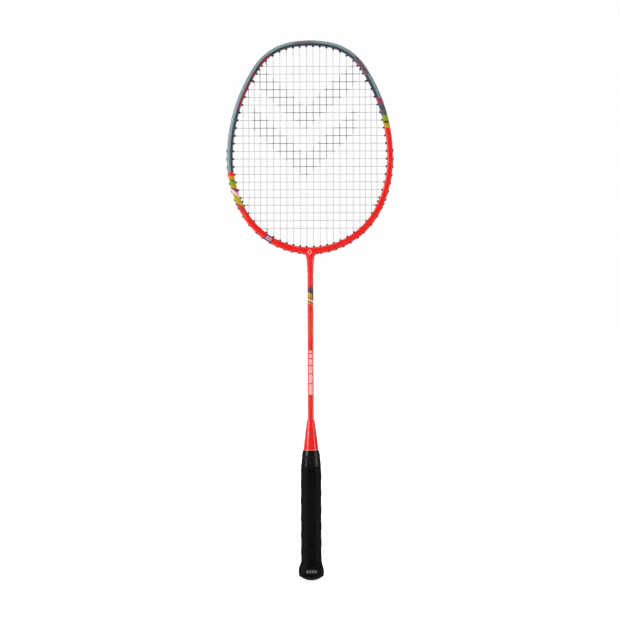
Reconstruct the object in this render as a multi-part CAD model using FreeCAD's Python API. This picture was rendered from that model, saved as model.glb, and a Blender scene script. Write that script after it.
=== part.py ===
import FreeCAD, Part
import math
import os

# Badminton racket, in millimetres. It stands upright: +Z runs from the butt to the crown of the head,
# the string bed lies in the plane Y = 0, and the front of the racket faces -Y.
# The origin is the middle of the butt's flat end.

# ---------------------------------------------------------------- driving dimensions
# Overall
racket_length = 675.0
head_width = 207.8
head_length = 267.0  # from its underside, where the shaft's boss meets it, to the crown
widest_above_bottom = 119.8  # height of the head's widest place above its underside

# Head frame: a hollow moulded tube, bent to an egg-shaped ring
frame_depth = 10.5
frame_at_crown = 6.4  # width of the tube seen from the front, at three places
frame_at_side = 7.3
frame_at_throat = 8.4
frame_wall = 1.1
frame_edge_round = 2.4
cavity_edge_round = 0.9
crown_radius = 135.0
crown_turn = 10.0  # degrees that the edge turns through from the middle of the crown to its end
shoulder_turn = 57.0
heel_turn = 64.0
groove_width = 3.9
groove_deep = 1.4  # round the crown and shoulders, where it hides the strings
groove_shallow = 0.7  # lower down, where the grommet heads stand proud of it
groove_deep_crosses = 11  # the groove is deep down to this cross string's hole

# Boss under the head and the T-shaped joint hidden inside it
boss_length = 24.0
boss_wall = 0.8  # at its waist
boss_flare = 3.8  # how much wider than the shaft it is where it meets the head
boss_waist_drop = 10.6  # below the head's underside
boss_lip = 0.3
boss_side_trim = 0.4  # how far its flanks stay inside the frame's front and back faces
stem_in_shaft = 32.0
stem_in_arms = 1.0
joint_half_span = 24.0

# Shaft
shaft_radius = 3.6
shaft_wall = 1.0
shaft_bottom = 60.0
shaft_top_gap = 3.5  # from the head's underside down to the end of the shaft in the boss

# Strings
string_radius = 0.35
string_layer = 0.4  # distance of each layer of strings from the middle plane
string_bend = 0.8
groove_step = 4.0  # most degrees that a string goes round the frame in one straight run
mains_each_side = 11
mains_at_full_pitch = 8  # on each side; the others are closer together
outer_pitch_share = 0.86
mains_side_gap = 20.2  # from the outermost main to the head's widest place
crosses = 22
cross_crown_gap = 32.2  # from the first cross up to the crown
cross_throat_gap = 32.15  # from the last cross down to the head's underside
knot_radius = 1.2
knot_length = 2.4
knot_round = 0.5
knot_from_mouth = 2.6

# Grommets: a barrel through the frame, with a slotted head in the groove
barrel_radius = 1.35
grommet_bore = 0.9
barrel_proud = 1.6
grommet_head_radius = 1.8
grommet_head_height = 1.6
grommet_web = 0.4  # thickness left under the slot
shared_hole_distance = 4.2  # two strings that reach the frame closer than this share one grommet
throat_exit_gap = 0.9  # the middle two holes leave the frame this far outside the boss
grommet_zones = {  # degrees round the head, from the middle of the crown, at which each group starts and ends
    "crown": (0, 20),
    "shoulder": (20, 63),
    "side": (63, 112),
    "lower": (112, 158),
    "throat": (158, 180),
}

# Handle: an octagonal wooden core with a flared butt
handle_width = 21.4  # seen from the front
handle_depth = 19.6
handle_corner = 0.29  # each corner's cut, as a share of the depth
handle_bottom = 5.0
handle_top = 140.0
butt_flare = ((0.0, 5.0), (4.8, 6.5), (9.8, 5.3), (14.8, 2.1), (18.5, 0.0))  # rise, extra width
neck_length = 18.0
cap_flat_radius = 5.0
cap_dome_bulge = 0.6
cap_rim_margin = 0.3  # how much wider its dome is than the octagon that trims it
cap_plug_radius = 5.0
cap_plug_length = 12.0

# Cone between the handle and the shaft
cone_length = 60.7
cone_covered = 22.5  # length of it under the grip and the finishing tape
cone_base_inset = 0.4  # from the sides of the handle
cone_base_drop = 1.0  # how much slimmer it is where it comes out of the finishing tape
cone_wall = 1.1  # round the handle's neck
cone_tip_wall = 1.4
cone_tip_round = 3.7  # height of its rounded tip
cone_tip_bulge = 0.3
cone_lip = 0.25

# Grip: a tape wound round the handle, its upper end covered by the finishing tape
grip_thickness = 1.8
grip_taper = 12.0  # height above the handle's top over which the grip turns round and thins
grip_taper_thickness = 1.3
grip_end = 20.0  # height of the tape's upper edge above the handle's top
grip_end_thickness = 0.5
band_width = 7.5
band_thickness = 0.45
staple_width = 8.0
staple_leg = 6.0
staple_wire_radius = 0.35
staple_height = 34.0

# Clearances
slide_gap = 0.05  # between parts that are glued or pushed together
drill_gap = 0.05  # between a grommet and the hole drilled for it
string_gap = 0.1  # between the strings and the sides of a grommet's slot

# Sizes that follow from these
head_bottom = racket_length - head_length
head_widest = head_bottom + widest_above_bottom
boss_waist_radius = shaft_radius + boss_wall
boss_top_radius = shaft_radius + boss_flare
cone_base_radius = handle_width / 2 - cone_base_inset
cone_shoulder_radius = cone_base_radius - cone_base_drop
cone_tip_radius = shaft_radius + cone_tip_wall
neck_radius = cone_shoulder_radius - cone_wall

X_AXIS = FreeCAD.Vector(1, 0, 0)
Y_AXIS = FreeCAD.Vector(0, 1, 0)
Z_AXIS = FreeCAD.Vector(0, 0, 1)


# ---------------------------------------------------------------- small helpers
def at(x, z, y=0.0):
    """A point, given by its place seen from the front and then its depth."""
    return FreeCAD.Vector(x, y, z)


def cylinder_between(start, end, radius):
    """A cylinder whose axis runs from one point to another."""
    return Part.makeCylinder(radius, (end - start).Length, start, end - start)


def revolve(profile_edges):
    """A solid of revolution about the racket's long axis, from the edges of a closed profile."""
    return Part.Face(Part.Wire(profile_edges)).revolve(at(0, 0), Z_AXIS, 360)


def lines(*points):
    """Straight edges through the points, in order."""
    return [Part.LineSegment(a, b).toShape() for a, b in zip(points, points[1:])]


def arc(start, middle, end):
    """A circular edge through three points."""
    return Part.Arc(start, middle, end).toShape()


def solve(error, low, high):
    """Where error changes sign between low and high, by halving the interval."""
    rising = error(high) > error(low)
    for _ in range(60):
        middle = (low + high) / 2
        if (error(middle) > 0) == rising:
            high = middle
        else:
            low = middle
    return (low + high) / 2


# ---------------------------------------------------------------- edges of the head
class HeadEdge:
    """The outer or inner edge of the head: tangent arcs, the same on both sides of the centre line.

    A place on the right half is named by its turn, the degrees that the edge's outward normal has
    turned through since the middle of the crown: 90 where the head is widest and 180 at the throat.
    """

    def __init__(self, half_width, top, bottom, first_radius):
        crown = math.radians(crown_turn)
        shoulder = math.radians(shoulder_turn)
        heel = math.radians(heel_turn)
        upper = self.two_radii(
            math.sin(shoulder) - math.sin(crown),
            1 - math.sin(shoulder),
            half_width - first_radius * math.sin(crown),
            math.cos(crown) - math.cos(shoulder),
            math.cos(shoulder),
            top - head_widest - first_radius * (1 - math.cos(crown)),
        )
        lower = self.two_radii(
            math.sin(heel),
            1 - math.sin(heel),
            half_width,
            1 - math.cos(heel),
            math.cos(heel),
            head_widest - bottom,
        )
        shoulder_centre = at(
            (first_radius - upper[0]) * math.sin(crown),
            top - first_radius + (first_radius - upper[0]) * math.cos(crown),
        )
        self.arcs = [
            (0.0, crown_turn, at(0, top - first_radius), first_radius),
            (crown_turn, shoulder_turn, shoulder_centre, upper[0]),
            (shoulder_turn, 90.0, at(half_width - upper[1], head_widest), upper[1]),
            (90.0, 180.0 - heel_turn, at(half_width - lower[1], head_widest), lower[1]),
            (180.0 - heel_turn, 180.0, at(0, bottom + lower[0]), lower[0]),
        ]

    @staticmethod
    def two_radii(a, b, width, c, d, height):
        """The two radii r and s for which a r + b s = width and c r + d s = height."""
        determinant = a * d - b * c
        return (width * d - b * height) / determinant, (a * height - width * c) / determinant

    def point(self, turn, offset=0.0):
        """The place at a turn, moved outward by offset."""
        for _, end, centre, radius in self.arcs:
            if turn <= end:
                return centre + normal(turn) * (radius + offset)
        raise ValueError("a turn is from 0 to 180 degrees")

    def nearest_turn(self, place):
        """The turn at which the edge's normal passes through a place inside the right half."""
        return solve(lambda turn: cross_of(self.point(turn) - place, normal(turn)), 0.0, 180.0)

    def turn_at_x(self, x, offset, upper):
        """The turn at which the edge, moved by offset, is x from the centre line."""
        low, high = (0.0, 90.0) if upper else (90.0, 180.0)
        return solve(lambda turn: self.point(turn, offset).x - x, low, high)

    def turn_at_z(self, z, offset):
        """The turn at which the edge, moved by offset, is at height z."""
        return solve(lambda turn: self.point(turn, offset).z - z, 0.0, 180.0)

    def slab(self, offset, depth):
        """The region inside the edge, moved outward by offset, as a plate of the given depth."""
        edges = []
        for side in (1, -1):
            for start, end, _, _ in self.arcs:
                ends_and_middle = [
                    self.point(turn, offset) for turn in (start, (start + end) / 2, end)
                ]
                edges.append(arc(*[at(side * p.x, p.z, -depth / 2) for p in ends_and_middle]))
        wire = Part.Wire(Part.__sortEdges__(edges))
        return Part.Face(wire).extrude(Y_AXIS * depth)


def normal(turn):
    """The outward normal of an edge of the head at a turn."""
    angle = math.radians(turn)
    return at(math.sin(angle), math.cos(angle))


def along(turn):
    """The direction along an edge of the head at a turn."""
    angle = math.radians(turn)
    return at(math.cos(angle), -math.sin(angle))


def cross_of(a, b):
    """The cross product of two directions in the plane of the strings."""
    return a.x * b.z - a.z * b.x


outer_edge = HeadEdge(head_width / 2, racket_length, head_bottom, crown_radius)
inner_edge = HeadEdge(
    head_width / 2 - frame_at_side,
    racket_length - frame_at_crown,
    head_bottom + frame_at_throat,
    crown_radius - frame_at_crown,
)


def main_x(number):
    """Distance of a main string from the centre line."""
    closer = mains_each_side - mains_at_full_pitch
    pitch = (head_width / 2 - mains_side_gap) / (mains_at_full_pitch - 0.5 + closer * outer_pitch_share)
    full = min(number, mains_at_full_pitch)
    return pitch * (full - 0.5 + (number - full) * outer_pitch_share)


def cross_z(number):
    """Height of a cross string."""
    first = racket_length - cross_crown_gap
    last = head_bottom + cross_throat_gap
    return first + (last - first) * (number - 1) / (crosses - 1)


groove_change = cross_z(groove_deep_crosses + 0.5)


def groove_depth(turn):
    """Depth of the string groove in the frame's outer edge at a turn."""
    return groove_deep if outer_edge.point(turn).z > groove_change else groove_shallow


# ---------------------------------------------------------------- where the strings cross the frame
class Hole:
    """One grommet hole. It is worked out on the right half of the head and used on both sides."""

    def __init__(self, mouth, exit_turn, main=None, cross=None):
        self.mouth = mouth  # where the strings enter it, on the end of the barrel
        self.exit_turn = exit_turn  # where it leaves the frame's outer edge
        self.main = main  # ("top" or "bottom", number from the centre line) or None
        self.cross = cross  # number from the crown or None

    def floor(self):
        """Where its axis meets the floor of the groove."""
        return outer_edge.point(self.exit_turn, -groove_depth(self.exit_turn))

    def string_offset(self):
        """How far the string in the groove lies outside the frame's outer edge."""
        return grommet_web + slide_gap + string_radius - groove_depth(self.exit_turn)

    def string_exit(self):
        """Where the string turns from the hole into the groove."""
        return outer_edge.point(self.exit_turn, self.string_offset())


def lay_out_holes():
    """All holes of the right half, from the crown round to the throat."""
    mains = []
    for number in range(1, mains_each_side + 1):
        for name in ("top", "bottom"):
            turn = inner_edge.turn_at_x(main_x(number), -barrel_proud, name == "top")
            mains.append((inner_edge.point(turn, -barrel_proud), (name, number)))
    holes = []
    for number in range(1, crosses + 1):
        turn = inner_edge.turn_at_z(cross_z(number), -barrel_proud)
        mouth = inner_edge.point(turn, -barrel_proud)
        main = None
        for other_mouth, other_main in mains:
            if (other_mouth - mouth).Length < shared_hole_distance:
                main = other_main
                mouth = at(main_x(main[1]), cross_z(number))
        mains = [entry for entry in mains if entry[1] != main]
        holes.append(Hole(mouth, outer_edge.nearest_turn(mouth), main, number))
    for mouth, main in mains:
        exit_turn = outer_edge.nearest_turn(mouth)
        if main == ("bottom", 1):
            exit_turn = outer_edge.turn_at_x(boss_top_radius + throat_exit_gap, 0.0, False)
        holes.append(Hole(mouth, exit_turn, main))
    return sorted(holes, key=lambda hole: hole.exit_turn)


holes = lay_out_holes()


# ---------------------------------------------------------------- cords
def bent_path(points, bend):
    """A path through the points, with a tangent arc at each. Returns its edges and smallest radius."""
    edges = []
    smallest = bend
    start = points[0]
    for before, corner, after in zip(points, points[1:], points[2:]):
        into = (corner - before).normalize()
        out = (after - corner).normalize()
        turn = into.getAngle(out)
        if turn < 1e-4:
            continue
        shorter = min((corner - before).Length, (after - corner).Length)
        radius = min(bend, 0.45 * shorter / math.tan(turn / 2))
        smallest = min(smallest, radius)
        reach = radius * math.tan(turn / 2)
        inward = (out - into).normalize()
        middle = corner + inward * (radius / math.cos(turn / 2) - radius)
        edges += lines(start, corner - into * reach)
        edges.append(arc(corner - into * reach, middle, corner + out * reach))
        start = corner + out * reach
    edges += lines(start, points[-1])
    return edges, smallest


def cord(points, radius, bend):
    """A round cord along the points."""
    edges, _ = bent_path(points, bend)
    direction = points[1] - points[0]
    section = Part.Wire(Part.makeCircle(radius, points[0], direction))
    return Part.Wire(edges).makePipeShell([section], True, False)


def grommets_between(low, high):
    """The holes of the right half whose exits lie between two turns."""
    return [hole for hole in holes if low <= hole.exit_turn < high]


def placed(point, side, layer):
    """A point of the right half moved to its side of the head and its layer of strings."""
    return at(side * point.x, point.z, layer)


def find_hole(main=None, cross=None):
    """The hole that holds a main string's end or a cross string's end."""
    for hole in holes:
        if (main and hole.main == main) or (cross and hole.cross == cross):
            return hole
    raise ValueError("no hole holds that string")


def outward(hole, side, layer):
    """From inside the head out through a hole."""
    return [placed(hole.mouth, side, layer), placed(hole.string_exit(), side, layer)]


def inward(hole, side, layer):
    """From the groove in through a hole."""
    return outward(hole, side, layer)[::-1]


def round_frame(first, last, side, layer):
    """Along the floor of the groove from one hole to another, past the holes between them."""
    low, high = sorted((holes.index(first), holes.index(last)))
    points = []
    for hole, following in zip(holes[low:high], holes[low + 1 : high + 1]):
        turned = following.exit_turn - hole.exit_turn
        climbed = following.string_offset() - hole.string_offset()
        steps = math.ceil(turned / groove_step)
        for step in range(steps):
            share = step / steps
            turn = hole.exit_turn + turned * share
            points.append(outer_edge.point(turn, hole.string_offset() + climbed * share))
    points = points[1:]
    if first.exit_turn > last.exit_turn:
        points.reverse()
    return [placed(point, side, layer) for point in points]


def tie_off_hole(start, step, wanted):
    """The nearest hole to start that wanted accepts, looking first in the direction of step."""
    begin = holes.index(start)
    order = sorted(range(len(holes)), key=lambda place: (abs(place - begin), (begin - place) * step))
    return next(holes[place] for place in order if wanted(holes[place]))


def main_half(side):
    """One half of the main string, from the middle of the crown to its tie-off."""
    layer = string_layer
    points = []
    end_of_main = None
    for number in range(1, mains_each_side + 1):
        first, last = ("top", "bottom") if number % 2 else ("bottom", "top")
        start = find_hole(main=(first, number))
        if end_of_main:
            points += round_frame(end_of_main, start, side, layer)
        points += inward(start, side, layer)
        end_of_main = find_hole(main=(last, number))
        points += outward(end_of_main, side, layer)
    points += round_frame(end_of_main, main_tie_off, side, layer)
    points += inward(main_tie_off, side, layer)
    points.append(knot_on_cross(side))
    return points


def cross_route():
    """The cross string, from its tie-off by the crown to its tie-off by the throat."""
    layer = -string_layer
    points = [knot_on_main(cross_tie_offs[0])]
    points += outward(cross_tie_offs[0], -1, layer)
    previous = cross_tie_offs[0]
    side = -1
    for number in range(1, crosses + 1):
        hole = find_hole(cross=number)
        points += round_frame(previous, hole, side, layer)
        points += inward(hole, side, layer)
        side = -side
        points += outward(hole, side, layer)
        previous = hole
    points += round_frame(previous, cross_tie_offs[1], side, layer)
    points += inward(cross_tie_offs[1], side, layer)
    points.append(knot_on_main(cross_tie_offs[1]))
    return points


def knot_on_cross(side):
    """Where the main string's end is tied to a cross string, just inside the frame."""
    inside = main_tie_off.mouth - X_AXIS * knot_from_mouth
    return placed(inside, side, string_layer)


def knot_on_main(hole):
    """Where the cross string's end is tied to a main string, on the left half."""
    up_or_down = -1 if hole.main[0] == "top" else 1
    inside = hole.mouth + Z_AXIS * (up_or_down * knot_from_mouth)
    return placed(inside, -1, -string_layer)


def knot(place, axis):
    """A knot round a string of the other layer, whose hole is that string's size."""
    core = FreeCAD.Vector(place.x, -place.y, place.z)
    half = axis * (knot_length / 2)
    body = cylinder_between(core - half, core + half, knot_radius)
    body = body.makeFillet(knot_round, [e for e in body.Edges if e.Closed])
    return body.cut(cylinder_between(core - axis * knot_length, core + axis * knot_length,
                                     string_radius + slide_gap))


main_tie_off = tie_off_hole(find_hole(main=("bottom", mains_each_side)), 1, lambda hole: not hole.main)
cross_tie_offs = (
    tie_off_hole(find_hole(cross=1), -1, lambda hole: not hole.cross),
    tie_off_hole(find_hole(cross=crosses), 1, lambda hole: not hole.cross),
)


def main_string():
    """All the main strings: one length of string, tied off at both ends."""
    route = main_half(-1)[::-1] + main_half(1)
    string = cord(route, string_radius, string_bend)
    for side in (1, -1):
        string = string.fuse(knot(knot_on_cross(side), X_AXIS))
    return string


def cross_string():
    """All the cross strings: one length of string, tied off at both ends."""
    string = cord(cross_route(), string_radius, string_bend)
    for hole in cross_tie_offs:
        string = string.fuse(knot(knot_on_main(hole), Z_AXIS))
    return string


# ---------------------------------------------------------------- head frame
def ring(outer_inset, inner_outset, depth, edge_round):
    """A ring between the head's two edges, set in from each, with its long edges rounded."""
    body = outer_edge.slab(-outer_inset, depth).cut(inner_edge.slab(inner_outset, 2 * depth))
    long_edges = [edge for edge in body.Edges if edge.BoundBox.YLength < 1e-6]
    return body.makeFillet(edge_round, long_edges)


def both_sides(shapes):
    """Shapes of the right half and their mirror images."""
    return shapes + [shape.mirror(at(0, 0), X_AXIS) for shape in shapes]


def boss():
    """The tapered boss under the head that the shaft is bonded into."""
    foot = head_bottom - boss_length
    waist = head_bottom - boss_waist_drop
    top = head_bottom + frame_wall
    rise = top - waist
    run = boss_top_radius - boss_waist_radius
    flare = (rise * rise + run * run) / (2 * run)
    half = math.asin(rise / flare) / 2
    middle = at(
        boss_waist_radius + flare * (1 - math.cos(half)),
        waist + flare * math.sin(half),
    )
    edges = lines(at(0, top), at(0, foot), at(shaft_radius + boss_lip, foot), at(boss_waist_radius, waist))
    edges.append(arc(at(boss_waist_radius, waist), middle, at(boss_top_radius, top)))
    edges += lines(at(boss_top_radius, top), at(0, top))
    half_depth = frame_depth / 2 - boss_side_trim
    slab = Part.makeBox(
        4 * boss_top_radius, 2 * half_depth, 2 * boss_length, at(-2 * boss_top_radius, foot - 1, -half_depth)
    )
    return revolve(edges).common(slab)


def string_groove():
    """The groove round the frame's outer edge, deeper above the height where it changes."""
    bands = []
    for depth, low, high in (
        (groove_deep, groove_change, racket_length + 1),
        (groove_shallow, head_bottom - 1, groove_change),
    ):
        band = outer_edge.slab(0.0, groove_width).cut(outer_edge.slab(-depth, 2 * groove_width))
        zone = Part.makeBox(
            2 * head_width, 2 * groove_width, high - low, at(-head_width, low, -groove_width)
        )
        bands.append(band.common(zone))
    clear_of_boss = Part.makeBox(
        2 * boss_top_radius,
        2 * groove_width,
        2 * frame_at_throat,
        at(-boss_top_radius, head_bottom - frame_at_throat, -groove_width),
    )
    return [bands[0], bands[1].cut(clear_of_boss)]


def hole_cutters():
    """The drilled holes of the right half, each with a seat for its grommet's head."""
    cutters = []
    for hole in holes:
        axis = (hole.floor() - hole.mouth).normalize()
        out = normal(hole.exit_turn)
        drill = cylinder_between(hole.mouth - axis, hole.floor() + axis, barrel_radius + drill_gap)
        seat = cylinder_between(
            hole.floor(), hole.floor() + out * (2 * grommet_head_height), grommet_head_radius + drill_gap
        )
        cutters.append(drill.fuse(seat))
    return cutters


def shaft_socket():
    """The bore in the boss for the shaft, and above it the hole for the joint's stem."""
    foot = head_bottom - boss_length
    socket = cylinder_between(at(0, foot - 1), at(0, shaft_top), shaft_radius + slide_gap)
    stem_hole = cylinder_between(at(0, shaft_top), at(0, joint_level), stem_radius + slide_gap)
    return socket.fuse(stem_hole)


shaft_top = head_bottom - shaft_top_gap
stem_radius = shaft_radius - shaft_wall - slide_gap
cavity_inset = groove_deep + frame_wall
joint_level = head_bottom + cavity_inset + stem_in_arms


def head_frame():
    """The hollow frame of the head, with its boss."""
    cavity = ring(cavity_inset, frame_wall, frame_depth - 2 * frame_wall, cavity_edge_round)
    body = ring(0.0, 0.0, frame_depth, frame_edge_round).fuse(boss())
    body = body.cut(cavity)
    body = body.cut(string_groove())
    return body.cut(both_sides(hole_cutters()) + [shaft_socket()])


def joint_insert():
    """The T-shaped joint: two arms inside the frame and a stem down inside the shaft."""
    wall = frame_wall + slide_gap
    arms = ring(cavity_inset + slide_gap, wall, frame_depth - 2 * wall, cavity_edge_round)
    zone = Part.makeBox(
        2 * joint_half_span,
        frame_depth,
        4 * frame_at_throat,
        at(-joint_half_span, head_bottom, -frame_depth / 2),
    )
    stem = cylinder_between(at(0, shaft_top - stem_in_shaft), at(0, joint_level), stem_radius)
    body = arms.common(zone).fuse(stem)
    return body.cut(both_sides(hole_cutters()))


# ---------------------------------------------------------------- grommets
def grommet(hole):
    """A barrel with a round head, bored through and slotted along the frame for the strings."""
    floor = hole.floor()
    out = normal(hole.exit_turn)
    axis = (floor - hole.mouth).normalize()
    head = cylinder_between(floor, floor + out * grommet_head_height, grommet_head_radius)
    barrel = cylinder_between(hole.mouth, floor, barrel_radius)
    bore = cylinder_between(hole.mouth - axis, floor + axis * grommet_head_height, grommet_bore)
    slot_width = 2 * (string_layer + string_radius + string_gap)
    slot = Part.makeBox(
        4 * grommet_head_radius,
        slot_width,
        2 * grommet_head_height,
        at(-2 * grommet_head_radius, grommet_web, -slot_width / 2),
    )
    slot.Placement = FreeCAD.Placement(floor, FreeCAD.Rotation(Y_AXIS, hole.exit_turn)) * slot.Placement
    return head.fuse(barrel).cut([bore, slot])


def grommet_group(low, high, sides):
    """The grommets between two turns, on the right (1), the left (-1) or both sides, as one group."""
    right = [grommet(hole) for hole in grommets_between(low, high)]
    left = [shape.mirror(at(0, 0), X_AXIS) for shape in right]
    return Part.makeCompound([shape for side in sides for shape in (right if side > 0 else left)])


# ---------------------------------------------------------------- shaft and handle
def shaft():
    """The round tube from inside the handle to inside the boss."""
    tube = cylinder_between(at(0, shaft_bottom), at(0, shaft_top), shaft_radius)
    return tube.cut(cylinder_between(at(0, shaft_bottom), at(0, shaft_top), shaft_radius - shaft_wall))


def octagon(width, depth, z):
    """The eight corners of the handle's section at a height, in order."""
    cut = handle_corner * depth
    x, y = width / 2, depth / 2
    quarter = [(x, y - cut), (x - cut, y)]
    half = quarter + [(-b, a) for b, a in quarter[::-1]]
    return [FreeCAD.Vector(a, b, z) for a, b in half + [(-a, -b) for a, b in half]]


def octagon_wire(width, depth, z):
    """The handle's section as a closed outline."""
    corners = octagon(width, depth, z)
    return Part.Wire(lines(*corners, corners[0]))


def round_wire(radius, like):
    """A circle in eight arcs, whose ends lie on the same sides as the corners of an octagon."""
    level = like[0].z
    angles = [math.atan2(corner.y, corner.x) for corner in like]
    edges = []
    for start, end in zip(angles, angles[1:] + angles[:1]):
        end += 2 * math.pi if end < start else 0
        spots = [start, (start + end) / 2, end]
        edges.append(arc(*[FreeCAD.Vector(radius * math.cos(a), radius * math.sin(a), level) for a in spots]))
    return Part.Wire(edges)


def handle_sections(grown):
    """The handle's sections from the butt to its top, grown outward on every side."""
    sizes = [(handle_bottom + rise, extra) for rise, extra in butt_flare] + [(handle_top, 0.0)]
    return [
        octagon_wire(handle_width + extra + 2 * grown, handle_depth + extra + 2 * grown, z)
        for z, extra in sizes
    ]


def cone_outline(grown):
    """The cone's outer profile from its base to its tip, grown outward."""
    base = at(cone_base_radius + grown, handle_top)
    shoulder = at(cone_shoulder_radius + grown, handle_top + cone_covered)
    quarter_drop = (cone_base_radius - cone_shoulder_radius) / 4
    belly = at(base.x - quarter_drop, (base.z + shoulder.z) / 2)
    tip_start = at(cone_tip_radius + grown, handle_top + cone_length - cone_tip_round)
    tip_end = at(shaft_radius + slide_gap + cone_lip + grown, handle_top + cone_length)
    tip_chord = (tip_end - tip_start).normalize()
    tip_middle = (tip_start + tip_end) * 0.5 + at(tip_chord.z, -tip_chord.x) * cone_tip_bulge
    return [arc(base, belly, shoulder)] + lines(shoulder, tip_start) + [arc(tip_start, tip_middle, tip_end)]


def cone_solid(grown):
    """The cone without its bores, grown outward."""
    profile = cone_outline(grown)
    start = profile[0].firstVertex().Point
    end = profile[-1].lastVertex().Point
    return revolve(profile + lines(end, at(0, end.z), at(0, start.z), start))


def handle_cone():
    """The cone that covers the handle's neck and holds the shaft straight."""
    neck = cylinder_between(
        at(0, handle_top), at(0, handle_top + neck_length + slide_gap), neck_radius + slide_gap
    )
    bore = cylinder_between(at(0, handle_top), at(0, handle_top + cone_length), shaft_radius + slide_gap)
    return cone_solid(0.0).cut([neck, bore])


def handle_core():
    """The wooden handle: an octagonal bar with a flared butt and a round neck, bored at both ends."""
    body = Part.makeLoft(handle_sections(0.0), True, True)
    body = body.fuse(cylinder_between(at(0, handle_top - 1), at(0, handle_top + neck_length), neck_radius))
    shaft_bore = cylinder_between(
        at(0, shaft_bottom), at(0, handle_top + neck_length + 1), shaft_radius + slide_gap
    )
    plug_bore = cylinder_between(
        at(0, handle_bottom - 1), at(0, handle_bottom + cap_plug_length + 1), cap_plug_radius + slide_gap
    )
    return body.cut([shaft_bore, plug_bore, grip_staple()])


def butt_cap():
    """The domed cap on the butt, with a plug up into the handle."""
    extra = butt_flare[0][1] + 2 * grip_thickness
    flat = at(cap_flat_radius, 0)
    rim = at((handle_width + extra) / 2 + cap_rim_margin, handle_bottom)
    chord = (rim - flat).normalize()
    middle = (flat + rim) * 0.5 + at(chord.z, -chord.x) * cap_dome_bulge
    edges = lines(at(0, handle_bottom), at(0, 0), flat) + [arc(flat, middle, rim)]
    edges += lines(rim, at(0, handle_bottom))
    outline = Part.Face(octagon_wire(handle_width + extra, handle_depth + extra, 0.0))
    dome = revolve(edges).common(outline.extrude(Z_AXIS * handle_bottom))
    plug = cylinder_between(
        at(0, handle_bottom - 1), at(0, handle_bottom + cap_plug_length), cap_plug_radius
    )
    return dome.fuse(plug)


# ---------------------------------------------------------------- grip
def grip_radius(height):
    """Outer radius of the grip's round upper end, at a height above the handle's top."""
    share = (height - grip_taper) / (grip_end - grip_taper)
    start = cone_base_radius + grip_taper_thickness
    end = cone_shoulder_radius + grip_end_thickness
    return start + (end - start) * share


def grip_staple():
    """The staple that holds the start of the tape to the handle."""
    skin = -handle_depth / 2
    crown = skin - grip_thickness / 2
    tip = skin + staple_leg
    half = staple_width / 2
    points = [
        at(-half, staple_height, tip),
        at(-half, staple_height, crown),
        at(half, staple_height, crown),
        at(half, staple_height, tip),
    ]
    return cord(points, staple_wire_radius, 2 * staple_wire_radius)


def grip_tape():
    """The wound tape as one sleeve, thinning to its upper edge on the cone."""
    sections = handle_sections(grip_thickness)
    for height in (grip_taper, grip_end):
        corners = octagon(handle_width, handle_depth, handle_top + height)
        sections.append(round_wire(grip_radius(height), corners))
    sleeve = Part.makeLoft(sections, True, True)
    core = Part.makeLoft(handle_sections(slide_gap), True, True)
    return sleeve.cut([core, cone_solid(slide_gap), grip_staple()])


def finishing_tape():
    """The short tape round the grip's upper end, half on the grip and half on the cone."""
    top = cone_covered
    bottom = cone_covered - band_width
    inner = [
        at(grip_radius(bottom) + slide_gap, handle_top + bottom),
        at(grip_radius(grip_end) + slide_gap, handle_top + grip_end),
        at(cone_shoulder_radius + 2 * slide_gap, handle_top + top),
    ]
    outer = [point + X_AXIS * band_thickness for point in inner[::-1]]
    return revolve(lines(*inner, *outer, inner[0]))


# ---------------------------------------------------------------- the pieces
pieces = {
    "head_frame": head_frame(),
    "joint_insert": joint_insert(),
    "shaft": shaft(),
    "handle_cone": handle_cone(),
    "handle_core": handle_core(),
    "butt_cap": butt_cap(),
    "grip_tape": grip_tape(),
    "grip_staple": grip_staple(),
    "finishing_tape": finishing_tape(),
    "main_string": main_string(),
    "cross_string": cross_string(),
}
for zone, (low, high) in grommet_zones.items():
    if zone in ("crown", "throat"):
        pieces[zone + "_grommets"] = grommet_group(low, high, (1, -1))
    else:
        pieces["right_" + zone + "_grommets"] = grommet_group(low, high, (1,))
        pieces["left_" + zone + "_grommets"] = grommet_group(low, high, (-1,))

os.makedirs("parts", exist_ok=True)
for name, shape in pieces.items():
    shape.exportStep("parts/" + name + ".step")
    print(name, len(shape.Solids), "solids", round(shape.Volume), "mm3, valid", shape.isValid())

for name, route in (("main string", main_half(-1)[::-1] + main_half(1)), ("cross string", cross_route())):
    edges, smallest = bent_path(route, string_bend)
    length = sum(edge.Length for edge in edges)
    print(name, round(length), "mm long, smallest radius", round(smallest, 2),
          "volume by length", round(length * math.pi * string_radius**2))
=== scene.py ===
import math

import bpy
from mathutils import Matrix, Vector


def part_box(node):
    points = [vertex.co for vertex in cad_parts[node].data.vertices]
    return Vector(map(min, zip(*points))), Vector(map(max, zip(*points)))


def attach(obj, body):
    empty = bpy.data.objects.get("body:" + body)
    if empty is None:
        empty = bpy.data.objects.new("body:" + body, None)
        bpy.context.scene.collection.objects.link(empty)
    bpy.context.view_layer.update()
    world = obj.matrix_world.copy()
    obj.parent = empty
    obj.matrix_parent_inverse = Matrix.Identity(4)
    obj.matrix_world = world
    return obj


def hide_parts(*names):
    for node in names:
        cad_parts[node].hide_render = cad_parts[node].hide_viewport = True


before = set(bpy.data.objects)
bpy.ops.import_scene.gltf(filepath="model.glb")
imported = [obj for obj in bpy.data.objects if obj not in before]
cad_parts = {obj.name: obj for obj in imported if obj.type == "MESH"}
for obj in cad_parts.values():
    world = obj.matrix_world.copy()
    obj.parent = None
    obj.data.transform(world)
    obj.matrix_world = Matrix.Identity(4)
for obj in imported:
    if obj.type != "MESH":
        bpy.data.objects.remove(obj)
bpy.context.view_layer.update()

# The looks of a badminton racket: lacquered frame and shaft, woven strings, grommets, cone and wound grip.
# Lengths are in millimetres until a mesh is made. The racket stands upright and its front faces -Y.
MM = 0.001


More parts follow.
